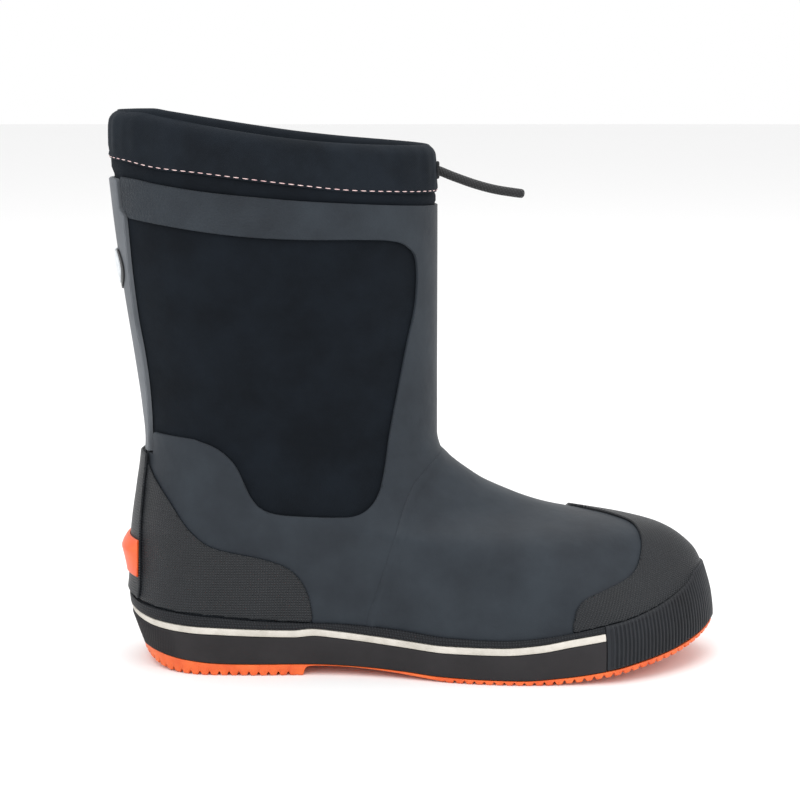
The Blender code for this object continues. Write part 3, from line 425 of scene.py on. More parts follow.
def loft(name, rings, material, across=0, sharp=40.0, floor=None):
    """Closed solid through rings of points; its two ends are closed from side to side.

    across is how many strips close the first ring, and floor(points) sets their heights.
    """
    count = rings[0].shape[0]
    half = count // 2
    points = [np.vstack(rings)]
    faces = []
    around = np.arange(count)
    following = np.roll(around, -1)
    for r in range(len(rings) - 1):
        low, high = r * count, (r + 1) * count
        faces += np.stack([low + around, low + following, high + following, high + around], 1).tolist()
    last = (len(rings) - 1) * count
    ends = [(0, across)] if across else [(0, 0)]
    ends.append((last, 0))
    for start, strips in ends:
        if not strips:
            for i in range(1, half - 1):
                faces.append([start + i, start + i + 1, start + count - i - 1, start + count - i])
            faces.append([start, start + 1, start + count - 1])
            faces.append([start + half - 1, start + half, start + half + 1])
            continue
        i = np.arange(1, half)
        one, other = rings[0][i], rings[0][count - i]
        share = (np.arange(1, strips) / strips)[:, None, None]
        inner = one + (other - one) * share
        inner = floor(inner)
        first = len(points[0]) + sum(len(p) for p in points[1:])
        points.append(inner.reshape(-1, 3))
        grid = np.vstack([i[None], first + np.arange(inner[..., 0].size).reshape(inner.shape[:2]),
                          (count - i)[None]])
        faces += np.stack([grid[:-1, :-1].ravel(), grid[:-1, 1:].ravel(), grid[1:, 1:].ravel(),
                           grid[1:, :-1].ravel()], 1).tolist()
        faces.append([0] + grid[:, 0].tolist())
        faces.append([half] + grid[::-1, -1].tolist())
    placed = np.vstack(points)
    return make_piece(name, placed, faces, material, placed[:, :2], sharp)


def add(tree, kind, settings, sockets):
    """Add a node, its settings and what its sockets take: a value or another node's output."""
    node = tree.nodes.new(kind)
    for key, value in settings.items():
        setattr(node, key, value)
    for key, value in sockets.items():
        if isinstance(value, bpy.types.NodeSocket):
            tree.links.new(value, node.inputs[key])
        else:
            node.inputs[key].default_value = value
    return node


def linear(code):
    """Linear colour of an sRGB hex value."""
    parts = [int(code[i:i + 2], 16) / 255 for i in (1, 3, 5)]
    return (*[c / 12.92 if c <= 0.04045 else ((c + 0.055) / 1.055) ** 2.4 for c in parts], 1.0)


def new_material(name, fixed):
    """Material with one Principled shader; fixed are its constant sockets."""
    made = bpy.data.materials.new(name)
    made.use_nodes = True
    shader = made.node_tree.nodes["Principled BSDF"]
    for key, value in fixed.items():
        shader.inputs[key].default_value = value
    return made, made.node_tree, shader


def tone(tree, shader, vector, dark, light, size, low=0.35, high=0.65):
    """Base colour that drifts between two tones over patches of a size in millimetres."""
    patches = add(tree, "ShaderNodeTexNoise", {}, {"Vector": vector, "Scale": 1 / size, "Detail": 5.0,
                                                  "Roughness": 0.6})
    share = add(tree, "ShaderNodeMapRange", {}, {"Value": patches.outputs["Fac"], "From Min": low,
                                                 "From Max": high})
    mix = add(tree, "ShaderNodeMix", {"data_type": "RGBA"}, {"Factor": share.outputs["Result"], 6: dark,
                                                             7: light})
    tree.links.new(mix.outputs[2], shader.inputs["Base Color"])
    return mix


def relief(tree, shader, height, depth, under=None):
    """Bump of a depth in millimetres, on top of another bump's normal where there is one."""
    sockets = {"Height": height, "Distance": depth * MM, "Strength": 1.0}
    if under is not None:
        sockets["Normal"] = under.outputs["Normal"]
    bump = add(tree, "ShaderNodeBump", {}, sockets)
    tree.links.new(bump.outputs["Normal"], shader.inputs["Normal"])
    return bump


def millimetres(tree):
    """Object coordinates in millimetres."""
    place = add(tree, "ShaderNodeTexCoord", {}, {})
    return add(tree, "ShaderNodeMapping", {}, {"Vector": place.outputs["Object"],
                                               "Scale": (1000.0, 1000.0, 1000.0)}).outputs["Vector"]


def on_surface(tree, turned=0.0):
    """The piece's own map, which is in millimetres along its surface."""
    own = add(tree, "ShaderNodeUVMap", {"uv_map": "surface"}, {})
    return add(tree, "ShaderNodeMapping", {}, {"Vector": own.outputs["UV"],
                                               "Rotation": (0.0, 0.0, turned)}).outputs["Vector"]


# A band texture's wave repeats every pi/10 of its vector.
WAVE = math.pi / 10


def knurl(tree, vector, pitch):
    """Height of a grid of small raised pyramids."""
    waves = [add(tree, "ShaderNodeTexWave", {"bands_direction": way}, {"Vector": vector,
                                                                       "Scale": WAVE / pitch})
             for way in ("X", "Y")]
    return add(tree, "ShaderNodeMath", {"operation": "MULTIPLY"},
               {0: waves[0].outputs["Fac"], 1: waves[1].outputs["Fac"]}).outputs["Value"]


def moulded_rubber(name, dark, light, roughness):
    """Natural rubber cured on the last: matt, with a fine pebble and a faint drift of tone."""
    made, tree, shader = new_material(name, {"Roughness": roughness, "IOR": 1.52, "Specular IOR Level": 0.22,
                                             "Sheen Weight": 0.04, "Sheen Roughness": 0.6})
    place = millimetres(tree)
    tone(tree, shader, place, linear(dark), linear(light), 34.0)
    pebble = add(tree, "ShaderNodeTexNoise", {}, {"Vector": place, "Scale": 1 / 0.55, "Detail": 3.0})
    broad = add(tree, "ShaderNodeTexNoise", {}, {"Vector": place, "Scale": 1 / 11.0, "Detail": 2.0})
    under = relief(tree, shader, broad.outputs["Fac"], 0.5)
    relief(tree, shader, pebble.outputs["Fac"], 0.07, under)
    return made


def creased_rubber(name, dark, light, roughness):
    """The upper's rubber: its top band is embossed with a leather-like grain, strongest to the back."""
    made, tree, shader = new_material(name, {"Roughness": roughness, "IOR": 1.52, "Specular IOR Level": 0.22,
                                             "Sheen Weight": 0.04, "Sheen Roughness": 0.6})
    place = millimetres(tree)
    tone(tree, shader, place, linear(dark), linear(light), 34.0)
    parts = add(tree, "ShaderNodeSeparateXYZ", {}, {"Vector": place})
    high = add(tree, "ShaderNodeMapRange", {"interpolation_type": "SMOOTHSTEP"},
               {"Value": parts.outputs["Z"], "From Min": 214.0, "From Max": 222.0})
    rear = add(tree, "ShaderNodeMapRange", {"interpolation_type": "SMOOTHSTEP"},
               {"Value": parts.outputs["X"], "From Min": 0.0, "From Max": -125.0, "To Min": 0.15})
    share = add(tree, "ShaderNodeMath", {"operation": "MULTIPLY"},
                {0: high.outputs["Result"], 1: rear.outputs["Result"]})
    grain = add(tree, "ShaderNodeTexVoronoi", {"feature": "DISTANCE_TO_EDGE"}, {"Vector": place,
                                                                              "Scale": 1 / 1.7})
    lump = add(tree, "ShaderNodeTexNoise", {}, {"Vector": place, "Scale": 1 / 2.6, "Detail": 4.0,
                                                "Roughness": 0.65})
    cells = add(tree, "ShaderNodeMath", {"operation": "MULTIPLY_ADD"},
                {0: grain.outputs["Distance"], 1: 0.6, 2: lump.outputs["Fac"]})
    embossed = add(tree, "ShaderNodeMath", {"operation": "MULTIPLY"},
                   {0: cells.outputs["Value"], 1: share.outputs["Value"]})
    pebble = add(tree, "ShaderNodeTexNoise", {}, {"Vector": place, "Scale": 1 / 0.55, "Detail": 3.0})
    broad = add(tree, "ShaderNodeTexNoise", {}, {"Vector": place, "Scale": 1 / 11.0, "Detail": 2.0})
    under = relief(tree, shader, broad.outputs["Fac"], 0.5)
    over = relief(tree, shader, embossed.outputs["Value"], 0.9, under)
    relief(tree, shader, pebble.outputs["Fac"], 0.07, over)
    return made


def knurled_rubber(name, dark, light, pitch, depth, turned):
    """Rubber sheet rolled with a fine grid of pyramids; its colour turns lighter on the pyramid points, in
    random patches, as a painted highlight.
    """
    made, tree, shader = new_material(name, {"Roughness": 0.45, "IOR": 1.52, "Specular IOR Level": 0.35})
    surface = on_surface(tree, turned)
    place = millimetres(tree)
    points = knurl(tree, surface, pitch)
    sparkle_patches = add(tree, "ShaderNodeTexNoise", {}, {"Vector": place, "Scale": 1 / 18.0, "Detail": 3.0})
    share = add(tree, "ShaderNodeMath", {"operation": "MULTIPLY"}, {0: points, 1: sparkle_patches.outputs["Fac"]})
    # Painted highlight: the base colour is lighter on the pyramid points, scaled by the random sparkle
    # patches.
    mix = add(tree, "ShaderNodeMix", {"data_type": "RGBA"}, {"Factor": share.outputs["Value"],
                                                             6: linear(dark), 7: linear(light)})
    tree.links.new(mix.outputs[2], shader.inputs["Base Color"])
    relief(tree, shader, points, depth)
    return made


def dotted_tape(name):
    """Foxing tape, calendered with rows of round dots; the dot tops are painted lighter than the ground
    between them, a painted highlight with painted shade between.
    """
    made, tree, shader = new_material(name, {"Roughness": 0.55, "IOR": 1.52, "Specular IOR Level": 0.22})
    dots = add(tree, "ShaderNodeTexVoronoi", {}, {"Vector": on_surface(tree), "Scale": 1 / 1.45,
                                                  "Randomness": 0.0})
    dome = add(tree, "ShaderNodeMapRange", {"interpolation_type": "SMOOTHSTEP"},
               {"Value": dots.outputs["Distance"], "From Min": 0.5, "From Max": 0.12})
    # Painted highlight and shade: the base colour follows the dot domes, lighter on their tops and darker
    # between them.
    mix = add(tree, "ShaderNodeMix", {"data_type": "RGBA"}, {"Factor": dome.outputs["Result"],
                                                             6: linear("#131519"), 7: linear("#24272b")})
    tree.links.new(mix.outputs[2], shader.inputs["Base Color"])
    relief(tree, shader, dome.outputs["Result"], 0.3)
    return made


def sole_rubber(name, dark, light):
    """Gum sole rubber with some dirt rubbed in: bright, dense and slightly waxy."""
    made, tree, shader = new_material(name, {"Roughness": 0.42, "IOR": 1.52, "Subsurface Weight": 0.12,
                                             "Subsurface Radius": (0.004, 0.0015, 0.0006),
                                             "Subsurface Scale": 0.5})
    place = millimetres(tree)
    tone(tree, shader, place, linear(dark), linear(light), 14.0)
    pores = add(tree, "ShaderNodeTexNoise", {}, {"Vector": place, "Scale": 1 / 0.8, "Detail": 2.0})
    relief(tree, shader, pores.outputs["Fac"], 0.06)
    return made


def stripe_rubber():
    """Off-white tape: warm, matt and lightly scuffed."""
    made, tree, shader = new_material("white_foxing_rubber", {"Roughness": 0.55, "IOR": 1.52})
    place = millimetres(tree)
    tone(tree, shader, place, linear("#b9b4aa"), linear("#cfcac1"), 9.0)
    scuffs = add(tree, "ShaderNodeTexNoise", {}, {"Vector": place, "Scale": 1 / 1.2, "Detail": 4.0})
    relief(tree, shader, scuffs.outputs["Fac"], 0.08)
    return made


def knit_face(name, dark, light, roughness, sheen, depth=0.16):
    """Nylon knit bonded to neoprene foam: dull and velvety, its courses 0.6 mm apart.

    They are drawn as coarse as 0.9 mm, because the real ones would be too fine to see.
    """
    made, tree, shader = new_material(name, {"Roughness": roughness, "Sheen Weight": sheen,
                                             "Sheen Roughness": 0.55, "Specular IOR Level": 0.15,
                                             "Sheen Tint": linear("#8e9aa6")})
    place = millimetres(tree)
    tone(tree, shader, place, linear(dark), linear(light), 26.0)
    knit = knurl(tree, on_surface(tree, math.radians(45)), 0.9)
    dents = add(tree, "ShaderNodeTexNoise", {}, {"Vector": place, "Scale": 1 / 14.0, "Detail": 3.0})
    under = relief(tree, shader, dents.outputs["Fac"], 1.1)
    relief(tree, shader, knit, depth, under)
    return made


def plain_stuff(name, dark, light, roughness, size, depth, fixed=None):
    """Material with a random grain of one size, for board, foam, thread and smooth trims."""
    made, tree, shader = new_material(name, {"Roughness": roughness, **(fixed or {})})
    place = millimetres(tree)
    tone(tree, shader, place, linear(dark), linear(light), size * 6)
    grain = add(tree, "ShaderNodeTexNoise", {}, {"Vector": place, "Scale": 1 / size, "Detail": 3.0})
    relief(tree, shader, grain.outputs["Fac"], depth)
    return made


def braided_cord():
    """Round braid of polyester: its strands cross round the cord every 1.6 mm; its colour is painted darker
    in the hollows between strands and lighter on their crowns, as painted shade and highlight.
    """
    made, tree, shader = new_material("braided_polyester", {"Roughness": 0.75, "Sheen Weight": 0.15,
                                                            "Sheen Roughness": 0.5})
    braid = knurl(tree, on_surface(tree, math.radians(38)), 1.3)
    # Painted shade and highlight: the base colour follows the braid's relief, dark in its hollows and
    # lighter on its crowns.
    mix = add(tree, "ShaderNodeMix", {"data_type": "RGBA"}, {"Factor": braid, 6: linear("#0b0c0e"),
                                                             7: linear("#24262a")})
    tree.links.new(mix.outputs[2], shader.inputs["Base Color"])
    relief(tree, shader, braid, 0.35)
    return made


upper_rubber = creased_rubber("moulded_black_rubber", "#1b2128", "#262d34", 0.55)
strip_rubber = moulded_rubber("moulded_grey_rubber", "#585c61", "#676b70", 0.6)
heel_knurl = knurled_rubber("knurled_heel_rubber", "#101317", "#2c3137", 1.35, 0.42, 0.0)
toe_knurl = knurled_rubber("knurled_toe_rubber", "#0f1216", "#2a2f36", 1.3, 0.42, math.radians(38))
tape = dotted_tape("dotted_tape_rubber")
band_rubber = moulded_rubber("brown_black_foxing_rubber", "#1d1b1d", "#262426", 0.5)
bumper_rubber = moulded_rubber("black_bumper_rubber", "#15171b", "#1f2227", 0.5)
white_rubber = stripe_rubber()
sole_orange = sole_rubber("orange_gum_rubber", "#d8551c", "#e86a2c")
spur_orange = sole_rubber("orange_moulded_rubber", "#d64a18", "#e6602a")
sock_knit = knit_face("navy_nylon_neoprene", "#090e14", "#10161d", 0.9, 0.04)
collar_knit = knit_face("black_nylon_binding", "#0e1319", "#161c23", 0.85, 0.06, 0.1)
lining = knit_face("grey_jersey_lining", "#22262b", "#2e3238", 0.9, 0.25, 0.2)
footbed_cloth = plain_stuff("footbed_felt", "#2b2d30", "#3f4246", 0.95, 0.7, 0.25, {"Sheen Weight": 0.3})
thread = plain_stuff("pale_pink_thread", "#d8aeb0", "#f0d8d4", 0.6, 0.4, 0.05)
dark_thread = plain_stuff("black_thread", "#0e1013", "#1c1f23", 0.7, 0.4, 0.05)
cord_braid = braided_cord()
badge_black = plain_stuff("black_badge_rubber", "#101214", "#191b1e", 0.45, 0.6, 0.04)
badge_pale = plain_stuff("pale_badge_rubber", "#c3c8cc", "#dde1e4", 0.35, 0.8, 0.03)
board_fibre = plain_stuff("fibre_board", "#9a7a55", "#b3936c", 0.9, 0.9, 0.15)
foam_grey = plain_stuff("grey_foam", "#3f4145", "#55585c", 0.95, 0.8, 0.3)
stiff_cloth = plain_stuff("stiffened_cloth", "#6d6d6a", "#84847f", 0.85, 0.7, 0.15)


def ribs_tree():
    """Push points out by ridges that repeat along a surface."""
    tree = bpy.data.node_groups.new("ribs", "GeometryNodeTree")
    face = tree.interface
    face.new_socket("Geometry", in_out="INPUT", socket_type="NodeSocketGeometry")
    for name, value in (("Pitch", 2.4), ("Height", 0.6), ("Width", 0.5), ("Slope", 0.4)):
        face.new_socket(name, in_out="INPUT", socket_type="NodeSocketFloat").default_value = value
    face.new_socket("Material", in_out="INPUT", socket_type="NodeSocketMaterial")
    face.new_socket("Geometry", in_out="OUTPUT", socket_type="NodeSocketGeometry")
    given = add(tree, "NodeGroupInput", {}, {}).outputs
    around = add(tree, "GeometryNodeInputNamedAttribute", {"data_type": "FLOAT"}, {"Name": "around"})
    push = add(tree, "GeometryNodeInputNamedAttribute", {"data_type": "FLOAT_VECTOR"}, {"Name": "push"})
    turns = add(tree, "ShaderNodeMath", {"operation": "DIVIDE"}, {0: around.outputs["Attribute"],
                                                                1: given["Pitch"]})
    part = add(tree, "ShaderNodeMath", {"operation": "FRACT"}, {0: turns.outputs[0]})
    centred = add(tree, "ShaderNodeMath", {"operation": "SUBTRACT"}, {0: part.outputs[0], 1: 0.5})
    away = add(tree, "ShaderNodeMath", {"operation": "ABSOLUTE"}, {0: centred.outputs[0]})
    half = add(tree, "ShaderNodeMath", {"operation": "MULTIPLY"}, {0: given["Width"], 1: 0.5})
    foot = add(tree, "ShaderNodeMath", {"operation": "MULTIPLY_ADD"}, {0: given["Slope"], 1: 0.5,
                                                                     2: half.outputs[0]})
    rise = add(tree, "ShaderNodeMapRange", {"interpolation_type": "SMOOTHSTEP"},
               {"Value": away.outputs[0], "From Min": foot.outputs[0], "From Max": half.outputs[0]})
    high = add(tree, "ShaderNodeMath", {"operation": "MULTIPLY"}, {0: rise.outputs["Result"],
                                                                 1: given["Height"]})
    metres = add(tree, "ShaderNodeMath", {"operation": "MULTIPLY"}, {0: high.outputs[0], 1: MM})
    moved = add(tree, "ShaderNodeVectorMath", {"operation": "SCALE"}, {0: push.outputs["Attribute"],
                                                                     "Scale": metres.outputs[0]})
    placed = add(tree, "GeometryNodeSetPosition", {}, {"Geometry": given["Geometry"],
                                                       "Offset": moved.outputs[0]})
    real = add(tree, "GeometryNodeRealizeInstances", {}, {"Geometry": placed.outputs[0]})
    covered = add(tree, "GeometryNodeSetMaterial", {}, {"Geometry": real.outputs[0],
                                                        "Material": given["Material"]})
    add(tree, "NodeGroupOutput", {}, {"Geometry": covered.outputs[0]})
    return tree


def stitches_tree():
    """Set stitches along a line, a spacing apart, each a small rounded bar."""
    tree = bpy.data.node_groups.new("stitches", "GeometryNodeTree")
    face = tree.interface
    face.new_socket("Geometry", in_out="INPUT", socket_type="NodeSocketGeometry")
    for name, value in (("Spacing", 4.5), ("Length", 3.0), ("Thickness", 0.6), ("Turned", 0.0)):
        face.new_socket(name, in_out="INPUT", socket_type="NodeSocketFloat").default_value = value
    face.new_socket("Material", in_out="INPUT", socket_type="NodeSocketMaterial")
    face.new_socket("Geometry", in_out="OUTPUT", socket_type="NodeSocketGeometry")
    given = add(tree, "NodeGroupInput", {}, {}).outputs
    spacing = add(tree, "ShaderNodeMath", {"operation": "MULTIPLY"}, {0: given["Spacing"], 1: MM})
    line = add(tree, "GeometryNodeResampleCurve", {"mode": "LENGTH"}, {"Curve": given["Geometry"],
                                                                     "Length": spacing.outputs[0]})
    along = add(tree, "GeometryNodeInputTangent", {}, {})
    aim = add(tree, "FunctionNodeAlignRotationToVector", {"axis": "X"}, {"Vector": along.outputs[0]})
    turn = add(tree, "ShaderNodeCombineXYZ", {}, {"Y": given["Turned"]})
    local = add(tree, "FunctionNodeRotateRotation", {"rotation_space": "LOCAL"},
                {"Rotation": aim.outputs[0], "Rotate By": turn.outputs[0]})
    size = add(tree, "ShaderNodeCombineXYZ", {}, {"X": given["Length"], "Y": given["Thickness"],
                                                  "Z": given["Thickness"]})
    ball = add(tree, "GeometryNodeMeshUVSphere", {}, {"Segments": 8, "Rings": 6, "Radius": 0.5 * MM})
    soft = add(tree, "GeometryNodeSetShadeSmooth", {}, {"Geometry": ball.outputs[0]})
    set_out = add(tree, "GeometryNodeInstanceOnPoints", {},
                  {"Points": line.outputs[0], "Instance": soft.outputs[0], "Rotation": local.outputs[0],
                   "Scale": size.outputs[0]})
    real = add(tree, "GeometryNodeRealizeInstances", {}, {"Geometry": set_out.outputs[0]})
    covered = add(tree, "GeometryNodeSetMaterial", {}, {"Geometry": real.outputs[0],
                                                        "Material": given["Material"]})
    add(tree, "NodeGroupOutput", {}, {"Geometry": covered.outputs[0]})
    return tree


RIBS, STITCHES = ribs_tree(), stitches_tree()


def grown(source, tree, material, **sizes):
    """Run a node tree on an object and keep the result as its plain mesh."""
    name = source.name
    shape = source.modifiers.new("shape", "NODES")
    shape.node_group = tree
    for item in tree.interface.items_tree:
        if item.in_out == "INPUT" and item.name in sizes:
            shape[item.identifier] = sizes[item.name]
        elif item.in_out == "INPUT" and item.name == "Material":
            shape[item.identifier] = material
    graph = bpy.context.evaluated_depsgraph_get()
    mesh = bpy.data.meshes.new_from_object(source.evaluated_get(graph), depsgraph=graph)
    source.modifiers.clear()
    bpy.data.objects.remove(source)
    made = bpy.data.objects.new(name, mesh)
    mesh.name = name
    bpy.context.scene.collection.objects.link(made)
    return made


def stitch_line(name, points, material, cyclic=False, **sizes):
    """Stitches along points in millimetres."""
    data = bpy.data.curves.new(name, "CURVE")
    data.dimensions = "3D"
    line = data.splines.new("POLY")
    line.points.add(len(points) - 1)
    flat = np.concatenate([(np.asarray(points) + SHIFT) * MM, np.ones((len(points), 1))], axis=1)
    line.points.foreach_set("co", flat.ravel())
    line.use_cyclic_u = cyclic
    made = bpy.data.objects.new(name, data)
    bpy.context.scene.collection.objects.link(made)
    return grown(made, STITCHES, material, **sizes)


# ---- The pieces of the boot ----

front_region = inside_of(np.vstack([spline(SEAM), [(190, 113), (190, -10), (-27, -10)]]))
window_region = inside_of(spline(WINDOW))
counter_region = inside_of(np.vstack([spline(COUNTER), [(-55, -10), (-200, -10), (-200, 109.8)]]))
toe_cap_region = inside_of(np.vstack([spline(TOE_CAP_EDGE), [(300, 70), (300, -70)]]))
arch_line = curve(spline(ARCH, 4)[:-4])


def bootie_offset(turn, height):
    """Outside of the neoprene sock, sunk where the stiffeners lie."""
    share = (1.0 - np.cos(turn)) / 2.0
    toe = smooth((share - 0.86) / 0.05) * (1.0 - smooth((height - 56) / 8))
    heel = smooth((0.16 - share) / 0.05) * (1.0 - smooth((height - 88) / 12))
    return -(RUBBER + SOCK_GAP) - (STIFFENER + GAP) * np.maximum(toe, heel)


def sock_floor(x):
    return board_foot(x) + BOARD + GAP


def on_wall(turn, height, offset):
    """Points on the upright wall through the footprint, at any height."""
    place = skin(turn, np.full_like(turn, VERTICAL_BELOW), offset)
    place[..., 2] = height
    return place


def bulge(turn, height):
    """How much the sock swells where it shows between the top band and the collar."""
    x = rim_x(turn)
    return 1.1 * smooth((height - band_top(x)) / 2.0) * (1.0 - smooth((height - hem_foot(x) + 0.5) / 1.5))


def make_sock():
    """The neoprene sock: outer face, rolled top edge inside the collar, lining."""
    steps = 300
    turns = np.arange(steps) * math.tau / steps
    x = sole_x(turns)
    shoulder = np.maximum(VERTICAL_BELOW, sock_floor(x) + NEOPRENE + 1.0)
    top = rim_line(rim_x(turns)) - TUNNEL_HEIGHT
    heights = [shoulder]
    heights += [np.full_like(turns, z) for z in levels(VERTICAL_BELOW + 17.0, 214.0, 3.0)]
    heights += [214.0 + (top - 214.0) * k / 16 for k in range(1, 17)]
    out = [skin(turns, h, bootie_offset(turns, h) + bulge(turns, h)) for h in heights]
    lined = [skin(turns, h, bootie_offset(turns, h) - NEOPRENE) for h in heights]
    low = bootie_offset(turns, np.full_like(turns, VERTICAL_BELOW)) - 0.6
    rings = [on_wall(turns, sock_floor(x), low)] + out + lined[::-1]
    rings.append(on_wall(turns, sock_floor(x) + NEOPRENE, low - NEOPRENE))
    sock = loft("neoprene_sock", rings, sock_knit)
    # The lining takes the faces whose middle lies nearer the inside.
    sock.data.materials.append(lining)
    count = steps * (len(out) + 1)
    for face in sock.data.polygons:
        if min(face.vertices) >= count - steps:
            face.material_index = 1
    u = np.concatenate([[0.0], np.cumsum(np.linalg.norm(np.diff(out[20], axis=0), axis=1))])
    layer = sock.data.uv_layers["surface"]
    corner = np.zeros(len(sock.data.loops), np.int32)
    sock.data.loops.foreach_get("vertex_index", corner)
    flat = np.stack([u[corner % steps], np.vstack(rings)[corner, 2]], -1)
    layer.data.foreach_set("uv", flat.astype(np.float32).ravel())
    dress(sock, "navy_neoprene", "bootie")


def above_foxing(place):
    return place[..., 2] - foxing_foot(place[..., 0]) - GAP


# How far the vamp laps over the quarters at its seam.
LAP = 1.6


def strip_edge(z):
    """Front edge of the strip up the back: it narrows to a tab near its top."""
    return backstay_edge(z) - 2.2 * smooth((z - 231.0) / 3.0)


def make_vamp():
    """Moulded vamp, lapped a little proud at its seam over the quarter."""
    start = float(turn_at(-40.0, 0.0))

    def trim(place, turn, height):
        return np.minimum(front_region(place[..., 0], place[..., 2]) + LAP, above_foxing(place))

    def outer(turn, height, far):
        place = skin(turn, height)
        inward = front_region(place[:, 0], place[:, 2]) + LAP
        ridge = (0.15 + 0.75 * smooth(inward / 2.5)) * (1.0 - smooth((inward - 2.5) / 3.5))
        return 0.1 + ridge * smooth(np.abs(np.sin(turn)) / 0.4) * (1.0 - smooth((inward - 4.0) / 3.0))

    def inner(turn, height, far):
        place = skin(turn, height)
        return 0.02 - (RUBBER + 0.02) * smooth((front_region(place[:, 0], place[:, 2]) - 0.5) / 0.6)

    vamp = panel("vamp_rubber", np.linspace(start, math.tau - start, 261), levels(4.0, 114.0, 1.7), trim,
                 outer, inner, upper_rubber, chamfer=0.12)
    dress(vamp, "charcoal_rubber", "vamp")


def make_quarters():
    """Rubber round the ankle, the windows and the top."""
    def trim(place, turn, height):
        x, z = place[..., 0], place[..., 2]
        behind = np.maximum(x - strip_edge(z) - RUBBER, BACKSTAY_FOOT - GAP - z)
        top = band_top(rim_x(turn)) - z
        far = np.minimum(-front_region(x + 0.4, z), -window_region(x, z))
        return np.minimum(np.minimum(far, behind), np.minimum(top, above_foxing(place)))

    heights = np.concatenate([np.arange(4.0, 94.0, 1.6), np.arange(94.0, 120.0, 0.9),
                              np.arange(120.0, 253.0, 1.6)])
    quarters = panel("quarter_rubber", np.linspace(0.0, math.tau, 321), heights, trim, 0.0, -RUBBER,
                     upper_rubber, closed=True)
    dress(quarters, "charcoal_rubber", "shaft_frame")


def make_backstay():
    """Strip up the back of the shaft."""
    def trim(place, turn, height):
        z = place[..., 2]
        edge = strip_edge(z) - place[..., 0]
        return np.minimum(edge, np.minimum(z - BACKSTAY_FOOT, BACKSTAY_TOP - z))

    strip = panel("backstay_rubber", np.linspace(-0.6, 0.6, 101), np.linspace(109.0, 250.5, 116), trim,
                  BACKSTAY_OUT, -RUBBER, strip_rubber, chamfer=0.5)
    dress(strip, "charcoal_rubber", "backstay")


def make_counter():
    """Knurled rubber over the heel."""
    def trim(place, turn, height):
        x, z = place[..., 0], place[..., 2]
        return np.minimum(counter_region(x, z), z - foxing_top(x) - GAP)

    counter = panel("heel_counter_rubber", np.linspace(-1.35, 1.35, 251), np.linspace(22.0, 119.0, 90), trim,
                    COUNTER_OUT, GAP, heel_knurl, chamfer=0.5)
    dress(counter, "charcoal_rubber", "heel_counter")


def make_heel_strip():
    """Knurled strip up the back of the heel."""
    def trim(place, turn, height):
        x, z = place[..., 0], place[..., 2]
        edge = back_line(np.maximum(z, VERTICAL_BELOW)) + heel_strip_wrap(z) - x
        return np.minimum(edge, np.minimum(z - foxing_top(x) - 3 * GAP, BACKSTAY_FOOT - 2 * GAP - z))

    strip = panel("heel_strip_rubber", np.linspace(-0.4, 0.4, 81), np.linspace(30.0, 119.0, 90), trim,
                  STRIP_OUT, COUNTER_OUT + GAP, heel_knurl, chamfer=0.5)
    dress(strip, "charcoal_rubber", "heel_strip")


def toe_line(x):
    return np.where(x < BUMPER_BACK, foxing_top(x), bumper_top(x))


def make_toe_cap():
    """Knurled cap over the toes, its rear edge curved."""
    def trim(place, turn, height):
        x, z = place[..., 0], place[..., 2]
        return np.minimum(toe_cap_region(x, place[..., 1]), z - toe_line(x) - GAP)

    cap = panel("toe_cap_rubber", np.linspace(1.95, math.tau - 1.95, 261), levels(24.0, 86.0, 1.3), trim,
                COUNTER_OUT, GAP, toe_knurl, chamfer=0.5)
    dress(cap, "charcoal_rubber", "toe_cap")


def strip_section(turns, foot, top, inner, outer, rows, rounding):
    """Section of a strip between two heights, with rounded edges on its outer side."""
    shares = np.linspace(0.0, 1.0, rows)
    heights = [foot, foot, foot + 0.3 * rounding]
    offsets = [inner, outer - rounding, outer - 0.3 * rounding]
    for share in shares:
        heights.append(foot + rounding + (top - foot - 2 * rounding) * share)
        offsets.append(outer)
    heights += [top - 0.3 * rounding, top, top]
    offsets += [outer - 0.3 * rounding, outer - rounding, inner]
    ones = np.ones_like(turns)
    return np.array([h * ones for h in heights]), np.array([o * ones for o in offsets])


def add_push(piece, turns, heights, offsets, around, mask):
    """Store what the rib tree reads: how far round a point is, and the way and share of its push."""
    out = skin(turns[None, :], np.maximum(heights, VERTICAL_BELOW), offsets + 1.0)
    push = (out - skin(turns[None, :], np.maximum(heights, VERTICAL_BELOW), offsets)) * mask[..., None]
    store(piece, around, push)


def store(piece, around, push):
    for key, kind, values in (("around", "FLOAT", around), ("push", "FLOAT_VECTOR", push)):
        made = piece.data.attributes.new(key, kind, "POINT")
        made.data.foreach_set("value" if kind == "FLOAT" else "vector", values.astype(np.float32).ravel())


def make_lower_foxing():
    """Wide tape round the sole edge, finely ribbed round the heel."""
    end = float(turn_at(BUMPER_BACK - GAP, 0.0))
    dense = np.linspace(-0.75, 0.75, 561)
    plain = np.linspace(0.75, end, 121)[1:]
    turns = np.concatenate([-plain[::-1], dense, plain])
    x = sole_x(turns, WELT)
    heights, offsets = strip_section(turns, foxing_foot(x), stripe_foot(x) - GAP, GAP, WELT, 8, 0.5)
    foxing = swept("lower_foxing_tape", turns, lambda t: (heights, offsets), band_rubber)
    around = np.concatenate([[0.0], np.cumsum(np.linalg.norm(np.diff(skin(turns, 20.0), axis=0), axis=1))])
    around = around[None, :] + 0.45 * heights * np.sign(turns)[None, :] * -1.0
    mask = (offsets > WELT - 0.1) * (1.0 - smooth((x + 128.0) / 10.0))[None, :]
    add_push(foxing, turns, heights, offsets, around, mask)
    foxing = grown(foxing, RIBS, band_rubber, Pitch=1.7, Height=0.6, Width=0.3, Slope=0.45)
    dress(foxing, "dark_rubber", "lower_foxing")


